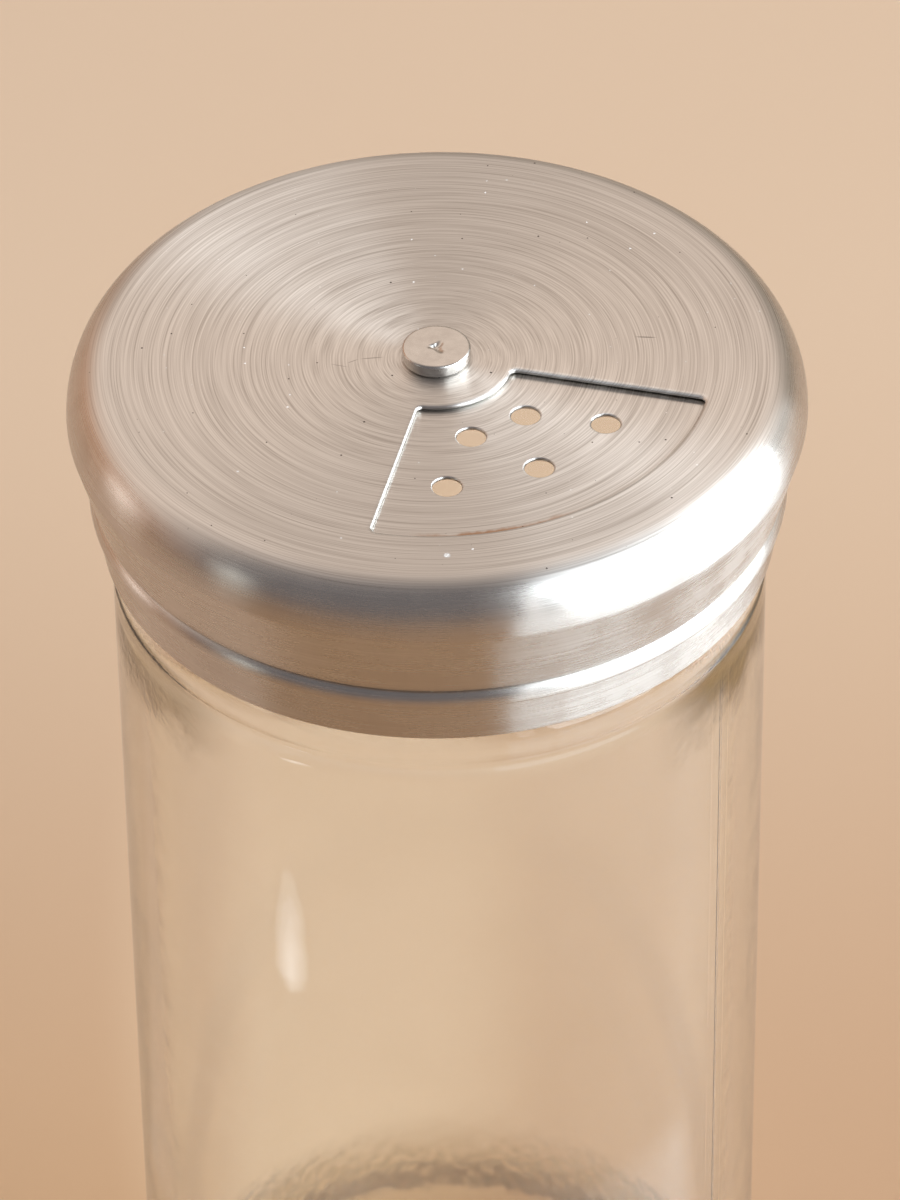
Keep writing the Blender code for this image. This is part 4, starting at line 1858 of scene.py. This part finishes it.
@dataclass(frozen=True)
class PaleFloor(Finish):
    """A pale floor, painted paler where the glass would gather light behind the jar.

    It is matt where the camera sees it. Mirrored, it has a sheen and its painted reflections.
    """

    # Painted shade: darker near the camera and paler away, a painted fall-off of light.
    near: Colour = (0.40, 0.242, 0.133)
    far: Colour = (0.57, 0.405, 0.285)
    painted_caustic: Colour = (0.56, 0.385, 0.255)
    matt_near: Colour = (0.458, 0.289, 0.175)
    matt_far: Colour = (0.60, 0.445, 0.318)
    matt_painted_caustic: Colour = (0.595, 0.43, 0.296)
    fade: float = 0.19
    painted_caustic_middle: Point = (-0.012, 0.08)
    painted_caustic_size: Point = (0.027, 0.10)
    painted_caustic_core: float = 0.1
    # Painted reflections for the metal and glass: one brown and four white sectors.
    painted_reflections: tuple[PaintedReflectionPatch, ...] = (
        PaintedReflectionPatch(180.0, 28.0, 0.06, 0.4, (0.54, 0.37, 0.26)),
        PaintedReflectionPatch(-34.0, 20.0, 0.066, 0.084, (0.97, 0.97, 0.96), 12.0),
        PaintedReflectionPatch(-14.0, 32.0, 0.170, 1.0, (0.97, 0.97, 0.96), 18.0),
        PaintedReflectionPatch(-63.0, 5.0, 0.066, 0.084, (1.0, 0.99, 0.97), 3.0),
        PaintedReflectionPatch(-63.0, 5.0, 0.170, 1.0, (1.0, 0.99, 0.97), 3.0),
    )
    roughness: float = 0.28
    shine: float = 1.0

    def shader(self, graph: Surface) -> Wire:
        """Shade the floor.

        Args:
            graph: The material's graph.

        Returns:
            The shader.
        """
        # Painted fall-off of light from near to far.
        away = graph.smooth(graph.y, 0.0, self.fade)
        # Painted light: a paler oval behind the jar, for light that the glass gathers.
        across = (graph.x - self.painted_caustic_middle[0]) / self.painted_caustic_size[0]
        along = (graph.y - self.painted_caustic_middle[1]) / self.painted_caustic_size[1]
        painted_caustic = graph.smooth(across * across + along * along, 1.0, self.painted_caustic_core)
        tone = graph.mix(painted_caustic, graph.mix(away, self.near, self.far), self.painted_caustic)
        matt_tone = graph.mix(away, self.matt_near, self.matt_far)
        matt_tone = graph.mix(painted_caustic, matt_tone, self.matt_painted_caustic)
        mirrored = graph.node("ShaderNodeLightPath", output="Is Glossy Ray")
        # Painted reflections show on glossy rays alone.
        for reflection in self.painted_reflections:
            tone = graph.mix(reflection.mask(graph) * mirrored, tone, reflection.colour)
        sheen = graph.principled({
            "Base Color": tone,
            "Roughness": self.roughness,
            "Specular IOR Level": self.shine,
        })
        matt = graph.node("ShaderNodeBsdfDiffuse", None, {"Color": matt_tone})
        return graph.either(graph.seen(), sheen, matt)


@dataclass(frozen=True)
class Room:
    """A room, pale behind the object and dim in front, that the camera sees in one colour."""

    view: Colour
    back: Colour = (1.02, 0.86, 0.75)
    front: Colour = (0.20, 0.19, 0.20)
    low_left: Colour = (0.66, 0.38, 0.24)
    low_right: Colour = (0.33, 0.29, 0.24)
    left_to_right: Span = (-0.7, 0.1)
    high_to_low: Span = (0.55, 0.3)
    front_to_back: Span = (-0.35, 0.55)
    back_turn: float = 0.2

    def build(self) -> None:
        """Make the room the scene's world."""
        world = bpy.data.worlds.new("studio")
        bpy.context.scene.world = world
        graph = Graph(empty_tree(world))
        right, back, up = graph.split(graph.node("ShaderNodeTexCoord", output="Generated"))
        to_right = graph.smooth(right, *self.left_to_right)
        low = graph.mix(to_right, self.low_left, self.low_right)
        behind = graph.mix(graph.smooth(up, *self.high_to_low), self.back, low)
        depth = graph.smooth(back - right * self.back_turn, *self.front_to_back)
        tone = graph.mix(depth, self.front, behind)
        room, view = (
            graph.node("ShaderNodeBackground", None, {"Color": rgba(colour), "Strength": 1.0})
            for colour in (tone, self.view)
        )
        surface = graph.either(graph.seen(), room, view)
        graph.node("ShaderNodeOutputWorld", None, {"Surface": surface})


@dataclass(frozen=True)
class Viewpoint:
    """The photograph's camera, by its distance and angles from the lid's middle, in degrees."""

    distance: float = 635.5 * MM
    rise: float = 38.487
    pitch: float = 40.423
    yaw: float = 0.104
    roll: float = -0.793
    focal_share: float = 7172.0 / 1200.0
    sensor: float = 36.0
    clip: Span = (0.01, 100.0)

    def build(self, lid: Vector) -> None:
        """Put up the camera.

        Args:
            lid: The middle of the lid's top.
        """
        camera = bpy.data.cameras.new("camera")
        camera.sensor_width = self.sensor
        camera.lens = self.sensor * self.focal_share
        camera.clip_start, camera.clip_end = self.clip
        rise, pitch, yaw, roll = (
            math.radians(angle) for angle in (self.rise, self.pitch, self.yaw, self.roll)
        )
        flat = math.cos(pitch)
        ahead = Vector((math.sin(yaw) * flat, math.cos(yaw) * flat, -math.sin(pitch)))
        level = Vector((math.cos(yaw), -math.sin(yaw), 0.0))
        upright = level.cross(ahead)
        right = level * math.cos(roll) + upright * math.sin(roll)
        up = upright * math.cos(roll) - level * math.sin(roll)
        eye = lid + Vector((0.0, -math.cos(rise), math.sin(rise))) * self.distance
        turned = Matrix((right, up, -ahead)).transposed().to_4x4()
        stand = place("camera", camera)
        stand.matrix_world = Matrix.Translation(eye) @ turned
        bpy.context.scene.camera = stand


@dataclass(frozen=True)
class Studio:
    """A pale floor with painted light and shade, soft light and the camera."""

    floor: PaleFloor = PaleFloor("pale_floor")
    floor_radius: float = 8.0
    floor_steps: int = 96
    viewpoint: Viewpoint = Viewpoint()
    lamps: tuple[SoftBox, ...] = (
        SoftBox("window_right", 4.0, 24.0, 3.0, 2.2, 2.5, 4.9, (0.82, 0.92, 1.0)),
        SoftBox("window_front", -38.0, 27.0, 3.0, 1.9, 2.6, 4.7, (0.84, 0.93, 1.0)),
        SoftBox("window_core", 5.0, 28.0, 2.9, 0.5, 1.8, 5.0, (0.90, 0.96, 1.0)),
        SoftBox("wall_right", 6.0, 20.0, 3.2, 4.4, 3.4, 0.55, (0.90, 0.96, 1.0)),
        SoftBox("wall_front", -42.0, 22.0, 3.2, 3.0, 3.4, 0.4, (0.90, 0.96, 1.0)),
        SoftBox("window_edge", -64.0, 16.0, 3.0, 0.26, 1.6, 1.2, (0.97, 0.98, 1.0)),
        SoftBox(
            "doorway", 168.0, 4.5, 3.0, 1.1, 0.5, 1.9, (1.0, 0.98, 0.95), LampShape.OVAL, 3
        ),
        SoftBox(
            "gap_left", -150.0, 8.0, 3.0, 0.9, 0.75, 1.2, (0.97, 1.0, 0.93), LampShape.OVAL, 3
        ),
    )
    glass_glint: SoftBox = SoftBox(
        "glass_glint", -140.7, -49.1, 0.177, 0.024, 0.022, 3.2, (0.80, 0.92, 1.0),
        LampShape.OVAL, 4,
    )

    def build_floor(self) -> None:
        """Lay the floor under the foot."""
        shape = bmesh.new()
        bmesh.ops.create_circle(
            shape, cap_ends=True, segments=self.floor_steps, radius=self.floor_radius
        )
        mesh = bpy.data.meshes.new("pale_floor")
        shape.to_mesh(mesh)
        shape.free()
        mesh.materials.append(self.floor.material())
        ground = place("pale_floor", mesh)

    def build(self, lid: Vector, jar: bpy.types.Object) -> None:
        """Build the whole stage, with a glint for the jar's glass alone.

        Args:
            lid: The middle of the lid's top.
            jar: The jar's piece.
        """
        self.build_floor()
        Room(self.floor.far).build()
        self.viewpoint.build(lid)
        for lamp in self.lamps:
            lamp.build(lid)
        self.glass_glint.build(lid, jar)
        bpy.context.scene.view_settings.view_transform = "Standard"


def main() -> None:
    """Build every sub-assembly from the frame's sizes, then the stage."""
    logging.basicConfig(level=logging.INFO, format="%(name)s: %(message)s")
    _, jar_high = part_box("glass_jar")
    liner_low, liner_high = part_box("sealing_liner")
    cap_low, cap_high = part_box("inner_screw_cap")
    dial_low, dial_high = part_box("outer_dial_cap")
    rivet_low, rivet_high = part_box("pivot_rivet")
    spring_low, spring_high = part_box("spring_washer")
    flat_low, flat_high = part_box("flat_washer")

    jar = Jar(jar_high.x, jar_high.z)
    glass = jar.build()
    Liner(liner_low.z, liner_high.z, jar.mouth - LINER_OVERHANG, liner_high.x).build()
    ScrewCap(cap_high.z, cap_low.z, cap_high.x, jar.thread_start - THREAD_SEAT).build()
    DialCap(dial_high.z, dial_low.z, dial_high.x).build()
    Rivet(dial_high.z + HEAD_GAP, rivet_high.z, rivet_high.x, rivet_low.z).build()
    spring = (spring_high.z, spring_low.z, spring_high.x, SPRING_THICKNESS)
    Washer("cone_washer", "spring_washer", *spring).build()
    flat = (flat_high.z, flat_low.z, flat_high.x, flat_high.z - flat_low.z)
    Washer("backing_washer", "flat_washer", *flat).build()
    Studio().build(Vector((0.0, 0.0, dial_high.z)), glass)


if __name__ == "__main__":
    main()
